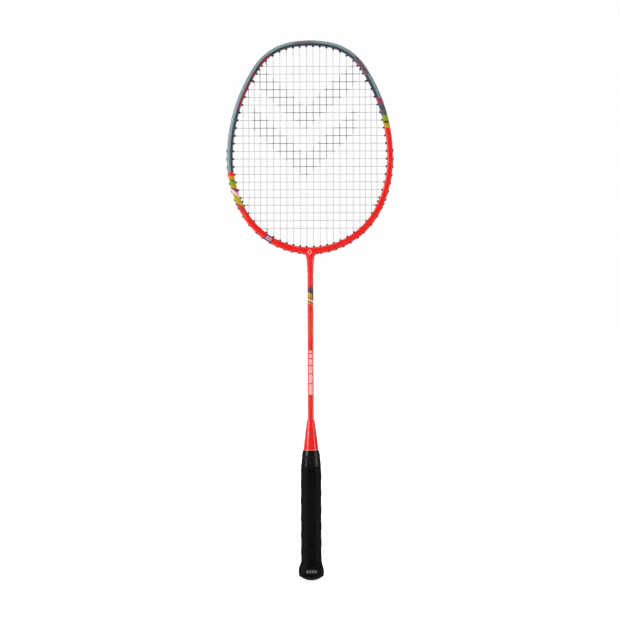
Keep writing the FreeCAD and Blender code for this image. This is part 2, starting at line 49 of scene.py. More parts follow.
def node_box(name):
    """The lowest and highest corners of a CAD node, in millimetres."""
    low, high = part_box(name)
    return low / MM, high / MM


# ---------------------------------------------------------------- sizes
head_low, head_high = node_box("head_frame")
cone_low, cone_high = node_box("handle_cone")
grip_low, grip_high = node_box("grip_tape")
band_low, band_high = node_box("finishing_tape")
shaft_low, shaft_high = node_box("shaft")

BOSS_LENGTH = 24.0
HEAD_TOP = head_high.z
HEAD_BOTTOM = head_low.z + BOSS_LENGTH
HEAD_WIDEST = HEAD_BOTTOM + 119.8
HALF_WIDTH = head_high.x
HALF_DEPTH = head_high.y
FRAME_AT_CROWN = 6.4
FRAME_AT_SIDE = 7.3
FRAME_AT_THROAT = 8.4
FRAME_ROUND = 2.4
CROWN_RADIUS = 135.0
CROWN_TURN = 10.0
SHOULDER_TURN = 57.0
HEEL_TURN = 64.0
GROOVE_HALF = 1.95
GROOVE_DEEP = 1.4
GROOVE_SHALLOW = 0.7
GROOVE_DEEP_CROSSES = 11
GROOVE_FADE = (9.0, 11.5)  # distance from the centre line over which the groove starts beside the boss
COLUMN_SPACING = 2.6  # between the sections of the frame's mesh

BOSS_COLUMNS = 3  # columns of the frame's mesh on each side of the centre that the boss grows out of
BOSS_ROW = 7  # row of the frame's section, from its outer middle, where the boss starts
BOSS_WAIST_RADIUS = 4.4
BOSS_WAIST_DROP = 10.6
BOSS_TOP_RADIUS = 7.4
BOSS_FOOT_RADIUS = 3.9
BOSS_HALF_DEPTH = 4.85
BOSS_WALL = 1.1
BOSS_RIM_ROUND = 0.2
BOSS_BORE_SEEN = 4.0  # depth of its bore that the mesh goes into
BOSS_DROPS = (1.0, 2.2, 3.6, 5.4, 7.6, 10.6, 15.0, 19.5, 22.8, 23.7)  # rows of its mesh, below the head

SHAFT_RADIUS = shaft_high.x
SHAFT_WALL = 1.0
SHAFT_RIM_ROUND = 0.15

STRING_RADIUS = 0.35
STRING_LAYER = 0.4
STRING_WEAVE = 0.36  # how far each string goes to the front and back of the middle plane
STRING_BEND = 0.8
STRING_SIDES = 8
MAINS_EACH_SIDE = 11
MAINS_AT_FULL_PITCH = 8
OUTER_PITCH_SHARE = 0.86
MAINS_SIDE_GAP = 20.2
CROSSES = 22
CROSS_CROWN_GAP = 32.2
CROSS_THROAT_GAP = 32.15
NEAR_HOLE = 3.5  # a crossing this near a hole keeps the order that the hole gives
MOUTH_MARGIN = 0.5  # strings that would cross nearer to a hole than this don't cross
LONG_SPAN = 3.0  # a string's stretch longer than this gets the finer steps
FINE_STEPS = 6
COARSE_STEPS = 2
SHARP_CORNER = 12.0  # degrees from which a corner of a string is rounded
KNOT_FROM_MOUTH = 2.6
KNOT_TURNS = 3.0
KNOT_STEPS = 30
KNOT_LENGTH = 2.1
KNOT_RADIUS = 0.78

BARREL_RADIUS = 1.35
BARREL_BORE = 0.9
BARREL_PROUD = 1.6
GROMMET_HEAD_RADIUS = 1.8
GROMMET_HEAD_HEIGHT = 1.6
GROMMET_WEB = 0.4
GROMMET_SLOT_HALF = 0.85
GROMMET_BASE_SHARE = 0.6  # how much shorter the ends of a grommet's head are than its middle
GROMMET_ZONES = {  # turns at which each group starts and ends
    "crown": (0, 20),
    "shoulder": (20, 63),
    "side": (63, 112),
    "lower": (112, 158),
    "throat": (158, 180),
}
SHARED_HOLE_DISTANCE = 4.2
THROAT_EXIT = 8.3  # from the centre line to the outer ends of the middle two holes
GROOVE_STEP = 4.0  # most degrees between the points of a string in the groove
GAP = 0.05

HANDLE_TOP = cone_low.z
HANDLE_WIDTH = 21.4
HANDLE_DEPTH = 19.6
HANDLE_CORNER = 0.29
BUTT_FLARE = ((0.0, 5.0), (4.8, 6.5), (9.8, 5.3), (14.8, 2.1), (18.5, 0.0))
GRIP_THICKNESS = 2.05  # of the tape where it lies on the handle
GRIP_TURN = 21.0  # rise of each turn of the tape
GRIP_STEP = 0.35  # how far a turn stands out where it overlaps the last one
GRIP_OVERLAP = 5.0
BAND_OVER_GRIP = HANDLE_TOP + 2.6  # height of the finishing tape's lower edge
BAND_BLEND = 4.0  # length over which it leaves the grip's shape for the cone's
BAND_STANDS_OUT = 0.25
BAND_LAP = 0.22  # how much more where it lies double
BAND_LAP_END = math.radians(205)
CAP_FLAT_RADIUS = 5.0
CAP_BULGE = 0.6
CAP_OVERHANG = 3.4  # how much wider it is than the wood it covers
CAP_PLUG_RADIUS = 5.0
CAP_PLUG_LENGTH = 12.0
CAP_PLUG_ROUND = 0.5
CONE_TIP_RADIUS = 5.0
CONE_TIP_ROUND = 3.7  # height of its rounded tip
CONE_SWELL = 0.12
CONE_COVERED_DROP = 1.0  # how much slimmer it is where it comes out of the finishing tape
NECK_BORE_RADIUS = 8.3  # of the cone, round the handle's neck
NECK_TOP = HANDLE_TOP + 18.0


# ---------------------------------------------------------------- edges of the head
def at(x, z, y=0.0):
    """A point, given by its place seen from the front and then its depth."""
    return Vector((x, y, z))


def normal(turn):
    """The outward normal of an edge of the head at a turn."""
    return at(math.sin(math.radians(turn)), math.cos(math.radians(turn)))


def solve(error, low, high):
    """Where error changes sign between low and high, by halving the interval."""
    rising = error(high) > error(low)
    for _ in range(50):
        middle = (low + high) / 2
        if (error(middle) > 0) == rising:
            high = middle
        else:
            low = middle
    return (low + high) / 2


class HeadEdge:
    """The outer or inner edge of the head, as tangent arcs.

    A place on the right half is named by its turn, the degrees that the edge's outward normal has
    turned through since the middle of the crown: 90 where the head is widest and 180 at the throat.
    """

    def __init__(self, half_width, top, bottom, first_radius):
        crown = math.radians(CROWN_TURN)
        shoulder = math.radians(SHOULDER_TURN)
        heel = math.radians(HEEL_TURN)
        upper = self.two_radii(
            math.sin(shoulder) - math.sin(crown),
            1 - math.sin(shoulder),
            half_width - first_radius * math.sin(crown),
            math.cos(crown) - math.cos(shoulder),
            math.cos(shoulder),
            top - HEAD_WIDEST - first_radius * (1 - math.cos(crown)),
        )
        lower = self.two_radii(
            math.sin(heel),
            1 - math.sin(heel),
            half_width,
            1 - math.cos(heel),
            math.cos(heel),
            HEAD_WIDEST - bottom,
        )
        shoulder_centre = at(0, top - first_radius) + normal(CROWN_TURN) * (first_radius - upper[0])
        self.arcs = [
            (0.0, CROWN_TURN, at(0, top - first_radius), first_radius),
            (CROWN_TURN, SHOULDER_TURN, shoulder_centre, upper[0]),
            (SHOULDER_TURN, 90.0, at(half_width - upper[1], HEAD_WIDEST), upper[1]),
            (90.0, 180.0 - HEEL_TURN, at(half_width - lower[1], HEAD_WIDEST), lower[1]),
            (180.0 - HEEL_TURN, 180.0, at(0, bottom + lower[0]), lower[0]),
        ]

    @staticmethod
    def two_radii(a, b, width, c, d, height):
        """The two radii r and s for which a r + b s = width and c r + d s = height."""
        determinant = a * d - b * c
        return (width * d - b * height) / determinant, (a * height - width * c) / determinant

    def point(self, turn, offset=0.0):
        """The place at a turn, moved outward by offset."""
        for _, end, centre, radius in self.arcs:
            if turn <= end:
                return centre + normal(turn) * (radius + offset)
        raise ValueError("a turn is from 0 to 180 degrees")

    def nearest_turn(self, place):
        """The turn at which the edge's normal passes through a place inside the right half."""

        def side_of_normal(turn):
            away = self.point(turn) - place
            return away.x * normal(turn).z - away.z * normal(turn).x

        return solve(side_of_normal, 0.0, 180.0)

    def turn_at_x(self, x, offset, upper):
        """The turn at which the edge, moved by offset, is x from the centre line."""
        low, high = (0.0, 90.0) if upper else (90.0, 180.0)
        return solve(lambda turn: self.point(turn, offset).x - x, low, high)

    def turn_at_z(self, z, offset):
        """The turn at which the edge, moved by offset, is at height z."""
        return solve(lambda turn: self.point(turn, offset).z - z, 0.0, 180.0)

    def even_turns(self, spacing):
        """Turns from 0 to 180 about that far apart along the edge."""
        turns = [0.0]
        for start, end, _, radius in self.arcs:
            steps = math.ceil(math.radians(end - start) * radius / spacing)
            turns += [start + (end - start) * step / steps for step in range(1, steps + 1)]
        return turns


outer_edge = HeadEdge(HALF_WIDTH, HEAD_TOP, HEAD_BOTTOM, CROWN_RADIUS)
inner_edge = HeadEdge(
    HALF_WIDTH - FRAME_AT_SIDE,
    HEAD_TOP - FRAME_AT_CROWN,
    HEAD_BOTTOM + FRAME_AT_THROAT,
    CROWN_RADIUS - FRAME_AT_CROWN,
)


def main_x(number):
    """Distance of a main string from the centre line."""
    closer = MAINS_EACH_SIDE - MAINS_AT_FULL_PITCH
    pitch = (HALF_WIDTH - MAINS_SIDE_GAP) / (MAINS_AT_FULL_PITCH - 0.5 + closer * OUTER_PITCH_SHARE)
    full = min(number, MAINS_AT_FULL_PITCH)
    return pitch * (full - 0.5 + (number - full) * OUTER_PITCH_SHARE)


def cross_z(number):
    """Height of a cross string."""
    first = HEAD_TOP - CROSS_CROWN_GAP
    last = HEAD_BOTTOM + CROSS_THROAT_GAP
    return first + (last - first) * (number - 1) / (CROSSES - 1)


GROOVE_CHANGE = cross_z(GROOVE_DEEP_CROSSES + 0.5)


def groove_depth(turn):
    """Depth of the string groove in the frame's outer edge at a turn."""
    return GROOVE_DEEP if outer_edge.point(turn).z > GROOVE_CHANGE else GROOVE_SHALLOW


# ---------------------------------------------------------------- where the strings cross the frame
class Hole:
    """One grommet hole. It is worked out on the right half of the head and used on both sides."""

    def __init__(self, mouth, exit_turn, main=None, cross=None):
        self.mouth = mouth
        self.exit_turn = exit_turn
        self.main = main
        self.cross = cross

    def floor(self):
        """Where its axis meets the floor of the groove."""
        return outer_edge.point(self.exit_turn, -groove_depth(self.exit_turn))

    def string_offset(self):
        """How far the string in the groove lies outside the frame's outer edge."""
        return GROMMET_WEB + GAP + STRING_RADIUS - groove_depth(self.exit_turn)

    def string_exit(self):
        """Where the string turns from the hole into the groove."""
        return outer_edge.point(self.exit_turn, self.string_offset())


def lay_out_holes():
    """All holes of the right half, from the crown round to the throat."""
    mains = []
    for number in range(1, MAINS_EACH_SIDE + 1):
        for name in ("top", "bottom"):
            turn = inner_edge.turn_at_x(main_x(number), -BARREL_PROUD, name == "top")
            mains.append((inner_edge.point(turn, -BARREL_PROUD), (name, number)))
    found = []
    for number in range(1, CROSSES + 1):
        turn = inner_edge.turn_at_z(cross_z(number), -BARREL_PROUD)
        mouth = inner_edge.point(turn, -BARREL_PROUD)
        main = None
        for other_mouth, other_main in mains:
            if (other_mouth - mouth).length < SHARED_HOLE_DISTANCE:
                main = other_main
                mouth = at(main_x(main[1]), cross_z(number))
        mains = [entry for entry in mains if entry[1] != main]
        found.append(Hole(mouth, outer_edge.nearest_turn(mouth), main, number))
    for mouth, main in mains:
        exit_turn = outer_edge.nearest_turn(mouth)
        if main == ("bottom", 1):
            exit_turn = outer_edge.turn_at_x(THROAT_EXIT, 0.0, False)
        found.append(Hole(mouth, exit_turn, main))
    return sorted(found, key=lambda hole: hole.exit_turn)


holes = lay_out_holes()
hole_of = {hole.main: hole for hole in holes if hole.main}
hole_of.update({hole.cross: hole for hole in holes if hole.cross})


def placed(point, side, layer):
    """A point of the right half moved to its side of the head and its layer of strings."""
    return Vector((side * point.x, layer, point.z))


# ---------------------------------------------------------------- meshes
class Skin:
    """The points and faces of a piece, made loop by loop."""

    def __init__(self):
        self.points = []
        self.faces = []

    def loop(self, points):
        """Adds a row of points and returns their numbers."""
        first = len(self.points)
        self.points += [Vector(point) for point in points]
        return list(range(first, len(self.points)))

    def bridge(self, one, other, closed=True):
        """Faces between two rows of the same length."""
        count = len(one) if closed else len(one) - 1
        for i in range(count):
            j = (i + 1) % len(one)
            self.faces.append((one[i], one[j], other[j], other[i]))

    def fan(self, row, centre):
        """Faces from a closed row to one point."""
        tip = self.loop([centre])[0]
        for i in range(len(row)):
            self.faces.append((row[i], row[(i + 1) % len(row)], tip))

    def rows(self, rows, closed=True):
        """Rows of points with faces between them. Returns the numbers of the first and last rows."""
        numbers = [self.loop(row) for row in rows]
        for one, other in zip(numbers, numbers[1:]):
            self.bridge(one, other, closed)
        return numbers[0], numbers[-1]

    def used_points(self):
        """The numbers of the points that some face uses, in order."""
        return sorted({number for face in self.faces for number in face})


def make_piece(name, skin, finish, slot, *nodes, smoothing=0, across=None):
    """A piece of the racket from its skin, in metres, which stands for CAD nodes."""
    used = skin.used_points()
    place_of = {number: place for place, number in enumerate(used)}
    mesh = bpy.data.meshes.new(name)
    faces = [[place_of[number] for number in face] for face in skin.faces]
    mesh.from_pydata([skin.points[number] * MM for number in used], [], faces)
    if across:
        shares = mesh.attributes.new("across", "FLOAT", "POINT")
        shares.data.foreach_set("value", [across[number] for number in used])
    mesh.shade_smooth()
    mesh.materials.append(finish.material)
    piece = bpy.data.objects.new(name, mesh)
    bpy.context.scene.collection.objects.link(piece)
    if smoothing:
        smooth = piece.modifiers.new("smooth", "SUBSURF")
        smooth.levels = smoothing
        smooth.render_levels = smoothing
    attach(piece, "root")
    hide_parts(*nodes)
    return piece


def ring_of(centre, across_axis, other_axis, radius, sides):
    """Points of a circle round a centre, from two directions at right angles."""
    angles = [2 * math.pi * side / sides for side in range(sides)]
    return [centre + (across_axis * math.cos(a) + other_axis * math.sin(a)) * radius for a in angles]


def lathe(profile, sides):
    """Rows of points round the racket's long axis, from (radius, height) pairs."""
    return [ring_of(at(0, z), at(1, 0), at(0, 0, 1), radius, sides) for radius, z in profile]


def tube(skin, path, radius, sides):
    """A round tube along a path, with rounded ends. Its section turns as little as it can."""
    direction = (path[1] - path[0]).normalized()
    one = direction.orthogonal().normalized()
    rows = []
    for place, point in enumerate(path):
        before = path[max(place - 1, 0)]
        after = path[min(place + 1, len(path) - 1)]
        direction = (after - before).normalized()
        one = (one - direction * one.dot(direction)).normalized()
        rows.append(ring_of(point, one, direction.cross(one), radius, sides))
    start, end = skin.rows(rows)
    skin.fan(start[::-1], path[0] + (path[0] - path[1]).normalized() * (radius / 2))
    skin.fan(end, path[-1] + (path[-1] - path[-2]).normalized() * (radius / 2))


# ---------------------------------------------------------------- finishes
def srgb(red, green, blue):
    """A colour given from 0 to 255 as on a colour card, as the shader needs it."""
    linear = [((v / 255 + 0.055) / 1.055) ** 2.4 if v > 10 else v / 255 / 12.92 for v in (red, green, blue)]
    return (*linear, 1.0)


class Value:
    """A number or colour that varies over a surface. Numbers can be added, multiplied and so on."""

    def __init__(self, finish, socket):
        self.finish = finish
        self.socket = socket

    def math(self, operation, *values):
        """A Math node on these values."""
        return self.finish.node("ShaderNodeMath", {"operation": operation}, values)

    def __add__(self, other):
        return self.math("ADD", self, other)

    __radd__ = __add__

    def __mul__(self, other):
        return self.math("MULTIPLY", self, other)

    __rmul__ = __mul__

    def __sub__(self, other):
        return self.math("SUBTRACT", self, other)

    def __rsub__(self, other):
        return self.math("SUBTRACT", other, self)

    def __truediv__(self, other):
        return self.math("DIVIDE", self, other)

    def __abs__(self):
        return self.math("ABSOLUTE", self)

    def fade(self, low, high):
        """0 below low and 1 above high, or the other way round if high is the smaller, smooth between."""
        settings = {"interpolation_type": "SMOOTHSTEP"}
        return self.finish.node("ShaderNodeMapRange", settings, (self, low, high, 0.0, 1.0))

    def band(self, low, high, soft):
        """1 between low and high and 0 outside, with soft edges."""
        return self.fade(low - soft, low + soft) * self.fade(high + soft, high - soft)

    def wave(self, length):
        """A sine wave from 0 to 1 along this value."""
        return self.math("SINE", self * (2 * math.pi / length)) * 0.5 + 0.5

    def fraction(self):
        """What is left after the whole number."""
        return self.math("FRACT", self)


class Finish:
    """A material and the nodes that make it. Places on the surface are in millimetres."""

    def __init__(self, name, constants):
        self.material = bpy.data.materials.new(name)
        self.material.use_nodes = True
        self.tree = self.material.node_tree
        self.shader = next(n for n in self.tree.nodes if n.type == "BSDF_PRINCIPLED")
        for socket, value in constants.items():
            self.shader.inputs[socket].default_value = value
        spot = self.node("ShaderNodeTexCoord", output="Object")
        self.place = self.node(
            "ShaderNodeVectorMath", {"operation": "SCALE"}, {"Vector": spot, "Scale": 1 / MM}
        )
        self.x, self.y, self.z = [
            self.node("ShaderNodeSeparateXYZ", values=(self.place,), output=axis) for axis in range(3)
        ]

    def node(self, kind, settings=None, values=(), output=0):
        """Adds a node with its settings and then its sockets' values or links, and returns one output."""
        made = self.tree.nodes.new(kind)
        for name, setting in (settings or {}).items():
            setattr(made, name, setting)
        for key, value in values.items() if isinstance(values, dict) else enumerate(values):
            if isinstance(value, Value):
                self.tree.links.new(value.socket, made.inputs[key])
            else:
                made.inputs[key].default_value = value
        return Value(self, made.outputs[output])

    def mix(self, share, one, other):
        """One colour where share is 0, and the other where it is 1."""
        settings = {"data_type": "RGBA"}
        return self.node("ShaderNodeMix", settings, {0: share, 6: one, 7: other}, output=2)

    def noise(self, size, detail=2.0, stretch=(1.0, 1.0, 1.0)):
        """Soft random variation from 0 to 1, with features of about that size."""
        stretched = self.node("ShaderNodeVectorMath", {"operation": "MULTIPLY"}, (self.place, stretch))
        return self.node(
            "ShaderNodeTexNoise", values={"Vector": stretched, "Scale": 1 / size, "Detail": detail}
        )

    def cells(self, size):
        """Distance from the nearest of many scattered points, which are about that size apart."""
        return self.node("ShaderNodeTexVoronoi", values={"Vector": self.place, "Scale": 1 / size})

    def angle(self):
        """How far round the long axis a place is, as a share of a turn from -0.5 to 0.5."""
        return self.x.math("ARCTAN2", self.y, self.x) / (2 * math.pi)

    def surface(self, colour, roughness, height=None, depth=0.1):
        """Links the colour, the roughness and a bump of that depth to the shader."""
        self.tree.links.new(colour.socket, self.shader.inputs["Base Color"])
        self.tree.links.new(roughness.socket, self.shader.inputs["Roughness"])
        if height:
            bump = self.node("ShaderNodeBump", values={"Height": height, "Distance": depth * MM})
            self.tree.links.new(bump.socket, self.shader.inputs["Normal"])
        return self


RED = srgb(243, 30, 24)
RED_EDGE_SHADE = srgb(176, 16, 20)
ROSE = srgb(206, 52, 62)
CRIMSON = srgb(138, 34, 56)
AMBER = srgb(236, 84, 34)
ORANGE = srgb(228, 128, 34)
YELLOW = srgb(190, 166, 24)
LIME = srgb(148, 156, 20)
OLIVE = srgb(70, 72, 18)
TEAL = srgb(92, 120, 126)
TEAL_HIGHLIGHT = srgb(140, 164, 168)
NAVY = srgb(30, 42, 52)
SLATE = srgb(76, 90, 96)
MAUVE = srgb(112, 80, 96)
PINK = srgb(158, 62, 88)
PALE_PINK = srgb(232, 198, 214)
PALE_ROSE = srgb(206, 140, 158)
PLUM = srgb(80, 44, 72)


def gloss_lacquer(name, colour_of, peel=0.02):
    """A clear-coated lacquer with faint orange peel, dust and fine scratches over its colours."""
    finish = Finish(name, {"Specular IOR Level": 0.3, "Coat Weight": 0.35, "Coat Roughness": 0.08})
    colour = colour_of(finish)
    cloud = finish.noise(9.0, 3.0)
    colour = finish.mix(cloud.fade(0.45, 0.8) * 0.1, colour, srgb(60, 8, 12))
    scratch = finish.noise(0.35, 1.0, (1.0, 1.0, 0.04)).fade(0.72, 0.78)
    colour = finish.mix(scratch * 0.12, colour, srgb(235, 225, 220))
    roughness = cloud * 0.14 + scratch * 0.2 + 0.26
    return finish.surface(colour, roughness, finish.noise(0.9, 2.0) - scratch * 0.5, peel)


def frame_colours(finish):
    """The frame's paint: teal over the crown with a painted highlight along its middle, slashes of colour on
    each side, and red below with painted shade at its edges.
    """
    across = finish.node("ShaderNodeAttribute", {"attribute_name": "across"}, output="Fac")
    ragged = finish.noise(7.0, 3.0) * 3.0 - 1.5
    teal = finish.mix(across.fade(0.26, 0.5), NAVY, TEAL)
    # painted highlight: a pale band along the middle of the teal, where light falls on the frame's rounded
    # section
    teal = finish.mix(across.band(0.52, 0.84, 0.14) * 0.85, teal, TEAL_HIGHLIGHT)
    # painted shade: the red darkens towards the inner and outer edges of the frame's section
    edges = across.fade(0.12, 0.0) + across.fade(0.9, 1.0)
    red = finish.mix(edges * 0.55, RED, RED_EDGE_SHADE)
    right = finish.x.fade(-0.5, 0.5)
    left = 1 - right
    red_share = right * finish.z.fade(565.6, 564.8) + left * finish.z.fade(511.0, 509.8)
    colour = finish.mix(red_share, teal, red)
    crown_tint = finish.x.band(-21.0, 6.0, 9.0) * finish.z.fade(655.0, 662.0) * across.fade(0.3, 0.6)
    colour = finish.mix(crown_tint * 0.8, colour, MAUVE)
    # side, lowest and highest place, slant towards the inner edge, inner and outer limit, softness, colour
    slashes = (
        (right, 631.5, 653.5, -4.0, -0.1, 0.78, 2.5, MAUVE),
        (right, 595.2, 603.0, 0.8, -0.1, 1.1, 0.5, PINK),
        (right, 581.2, 595.0, 0.8, -0.1, 1.1, 0.5, SLATE),
        (right, 585.4, 587.2, 1.0, -0.1, 0.55, 0.5, PINK),
        (right, 565.2, 581.3, 0.8, -0.1, 1.1, 0.4, LIME),
        (right, 565.2, 570.6, 0.5, -0.1, 1.1, 0.8, YELLOW),
        (right, 571.2, 573.8, -0.5, -0.1, 1.1, 0.5, OLIVE),
        (right, 544.0, 558.5, 0.0, 0.9, 1.1, 1.0, PLUM),
        (left, 644.6, 657.2, -5.0, -0.1, 0.5, 2.2, CRIMSON),
        (left, 629.5, 636.4, -4.0, -0.1, 0.5, 1.6, CRIMSON),
        (left, 589.6, 623.7, -3.0, -0.1, 0.46, 2.4, CRIMSON),
        (left, 502.0, 505.9, -1.5, -0.1, 1.1, 0.6, ORANGE),
        (left, 489.8, 502.2, -1.5, -0.1, 1.1, 0.7, LIME),
        (left, 489.8, 493.6, -2.0, -0.1, 1.1, 2.0, YELLOW),
        (left, 498.6, 500.1, 0.0, -0.1, 0.64, 0.4, OLIVE),
        (left, 487.4, 490.2, -3.0, -0.1, 1.1, 0.5, CRIMSON),
        (left, 469.0, 482.6, -6.0, -0.1, 1.1, 0.6, YELLOW),
        (left, 481.2, 486.8, -7.5, -0.1, 1.02, 0.6, PALE_PINK),
        (left, 465.8, 469.6, -3.0, 0.82, 1.1, 0.6, PLUM),
        (left, 460.4, 469.2, -4.0, 0.1, 0.95, 1.5, ROSE),
        (left, 452.4, 459.4, -3.0, 0.45, 0.98, 1.6, AMBER),
    )
    for side, low, high, slant, inner, outer, soft, tint in slashes:
        slanted = finish.z + (across - 0.5) * slant + ragged * 0.25
        mask = side * slanted.band(low, high, soft) * across.band(inner, outer, 0.06)
        colour = finish.mix(mask, colour, tint)
    # a dark patch with a pale middle, low on the left
    near_throat = left * finish.z.fade(442.0, 438.0)
    slanted = finish.x + (across - 0.5) * 4.0
    border = near_throat * slanted.band(-56.4, -47.2, 0.5) * across.band(0.02, 0.98, 0.06)
    middle = near_throat * slanted.band(-55.2, -48.4, 0.5) * across.band(0.2, 0.8, 0.06)
    colour = finish.mix(border, colour, PLUM)
    colour = finish.mix(middle, colour, PALE_ROSE)
    lozenge = abs(finish.x + 0.8) + abs(finish.z - HEAD_BOTTOM - 2.2) * 0.8
    mark = lozenge.band(1.7, 2.9, 0.2) * finish.y.fade(-2.0, -3.0)
    return finish.mix(mark * 0.8, colour, srgb(255, 190, 186))


def shaft_colours(finish):
    """The shaft's paint: red, with a faded dark band, a yellow one and slashes near the boss."""
    slanted = finish.z + finish.x * 0.5
    colour = finish.mix(finish.z.band(304.0, 330.0, 14.0), RED, srgb(240, 62, 28))
    colour = finish.mix(finish.z.fade(371.0, 362.0) * finish.z.fade(357.6, 359.4), colour, PLUM)
    colour = finish.mix(slanted.band(352.8, 358.6, 0.7), colour, YELLOW)
    colour = finish.mix(finish.x.fade(0.6, 2.6) * finish.z.band(351.5, 364.0, 1.5), colour, srgb(44, 34, 34))
    colour = finish.mix(slanted.band(346.8, 351.0, 0.3), colour, OLIVE)
    colour = finish.mix(slanted.band(348.5, 350.7, 0.3), colour, srgb(246, 206, 182))
    colour = finish.mix(slanted.band(344.8, 347.0, 0.6), colour, ORANGE)
    # a row of plain blocks, each longer than the last
    front = finish.y.fade(-0.8, -1.4) * finish.x.band(-2.3, 2.3, 0.12)
    block_top = 287.0
    for length in (3.0, 5.0, 7.0, 9.0, 11.0, 13.0):
        block = front * finish.z.band(block_top - length, block_top, 0.12)
        colour = finish.mix(block * 0.85, colour, srgb(250, 204, 198))
        block_top -= length + 1.4
    return colour


def cone_colours(finish):
    """The cone's paint: bright red, with a painted highlight as a pale rim where the tape ends, and one
    small bar.
    """
    # painted highlight: a pale pink ragged rim on the cone just above the tape's top edge
    rim = (finish.z + finish.noise(2.5) * 1.6).band(band_high.z, band_high.z + 1.6, 0.4)
    colour = finish.mix(finish.noise(14.0).fade(0.4, 0.7), srgb(250, 26, 16), srgb(240, 32, 22))
    bar = finish.z.band(181.2, 184.4, 0.3) * finish.x.band(-3.6, 3.6, 0.3) * finish.y.fade(-1.0, -2.0)
    colour = finish.mix(bar * 0.7, colour, srgb(128, 72, 68))
    return finish.mix(rim * 0.6, colour, srgb(255, 170, 160))


def string_finish():
    """Braided nylon, pale grey, with a black stencilled sign of two chevrons."""
    finish = Finish("string_nylon", {"Specular IOR Level": 0.3})
    strands = (finish.x + finish.z + finish.y * 2.0).wave(0.5)
    crossed = (finish.x - finish.z + finish.y * 2.0).wave(0.5)
    worn = finish.noise(6.0, 3.0)
    colour = finish.mix(worn.fade(0.3, 0.7), srgb(184, 185, 188), srgb(200, 201, 203))
    sideways = abs(finish.x + 6.0)
    rise = finish.z - sideways * 0.92
    spread = sideways.fade(68.0, 64.0)
    sprayed = rise.band(562.0, 592.0, 1.5) + rise.band(503.0, 533.0, 1.5)
    ink = sprayed * spread * finish.noise(1.2, 2.0).fade(0.1, 0.3)
    colour = finish.mix(ink * 0.97, colour, srgb(6, 6, 8))
    roughness = ink * 0.25 + worn * 0.2 + 0.3
    return finish.surface(colour, roughness, strands * crossed, 0.015)


def grommet_finish():
    """Moulded nylon: near black round the crown and dark crimson low on the head."""
    finish = Finish("grommet_nylon", {"Specular IOR Level": 0.4})
    speckle = finish.noise(0.5, 3.0)
    colour = finish.mix(finish.z.fade(560.0, 470.0) * 0.8, srgb(14, 14, 18), srgb(44, 10, 16))
    under_paint = finish.x.fade(-55.0, -60.0) * finish.z.band(586.0, 660.0, 4.0)
    colour = finish.mix(under_paint * 0.8, colour, srgb(74, 12, 28))
    colour = finish.mix(speckle.fade(0.5, 0.8) * 0.3, colour, srgb(46, 42, 44))
    return finish.surface(colour, speckle * 0.25 + 0.35, speckle, 0.03)


def grip_finish():
    """Black tacky tape like leather, with fine grain, painted shade in the fold at each overlap and a worn
    edge.
    """
    finish = Finish("grip_tape", {"Specular IOR Level": 0.08})
    turns = (finish.z / GRIP_TURN - finish.angle()).fraction() * GRIP_TURN
    crease_and_shade = turns.fade(GRIP_TURN - 0.9, GRIP_TURN)
    worn = turns.band(0.3, 1.3, 0.3)
    grain = finish.noise(0.55, 3.0)
    hide = finish.cells(1.1)
    pores = finish.cells(3.4).fade(0.16, 0.1)
    cloud = finish.noise(16.0, 3.0)
    colour = finish.mix(cloud.fade(0.35, 0.7), srgb(4, 4, 5), srgb(10, 10, 11))
    colour = finish.mix(worn * grain.fade(0.4, 0.7) * 0.5, colour, srgb(38, 38, 40))
    # painted shade: the colour darkens in the fold at each overlap; the roughness and bump there are the
    # real fold
    colour = finish.mix(crease_and_shade * 0.8, colour, srgb(2, 2, 2))
    # a row of plain blocks on the butt's front
    block = abs((finish.x / 3.4).fraction() - 0.5).fade(0.42, 0.36)
    label = finish.x.band(-6.2, 7.4, 0.2) * finish.z.band(10.2, 13.8, 0.25) * finish.y.fade(-8.0, -10.0)
    colour = finish.mix(label * block * 0.85, colour, srgb(112, 112, 116))
    roughness = cloud * 0.16 + grain * 0.12 + crease_and_shade * 0.2 + 0.36
    height = grain * 0.5 + hide * 0.6 - pores * 1.2 - crease_and_shade
    return finish.surface(colour, roughness, height, 0.16)


def band_finish():
    """Stretched black vinyl tape, glossy, with fine pull lines round it and a lifted edge."""
    sheen = {"Specular IOR Level": 0.16, "Coat Weight": 0.08, "Coat Roughness": 0.15}
    finish = Finish("finishing_vinyl", sheen)
    pulled = finish.noise(0.8, 2.0, (0.15, 0.15, 1.0))
    dust = finish.noise(0.4, 2.0).fade(0.66, 0.74)
    colour = finish.mix(pulled, srgb(5, 5, 6), srgb(18, 18, 20))
    colour = finish.mix(dust * 0.2, colour, srgb(90, 88, 86))
    return finish.surface(colour, pulled * 0.2 + dust * 0.3 + 0.2, pulled, 0.08)


def butt_finish():
    """Moulded black plastic with a fine spark-eroded texture and a scuffed base."""
    finish = Finish("butt_plastic", {"Specular IOR Level": 0.2})
    texture = finish.noise(0.35, 3.0)
    scuff = finish.z.fade(1.6, 0.0) * finish.noise(1.5, 3.0).fade(0.4, 0.6)
    colour = finish.mix(scuff * 0.6, srgb(8, 8, 9), srgb(60, 58, 56))
    return finish.surface(colour, texture * 0.2 + scuff * 0.2 + 0.4, texture - scuff, 0.08)


def wood_finish():
    """Pale planed hardwood with its grain along the handle."""
    finish = Finish("handle_wood", {"Specular IOR Level": 0.3})
    grain = finish.noise(1.6, 4.0, (1.0, 1.0, 0.05))
    rings = (finish.x + finish.noise(12.0, 2.0, (1.0, 1.0, 0.2)) * 9.0).wave(3.2)
    colour = finish.mix(rings, srgb(196, 160, 112), srgb(226, 198, 154))
    colour = finish.mix(grain.fade(0.5, 0.75) * 0.5, colour, srgb(150, 110, 70))
    return finish.surface(colour, grain * 0.3 + 0.5, grain + rings * 0.3, 0.1)


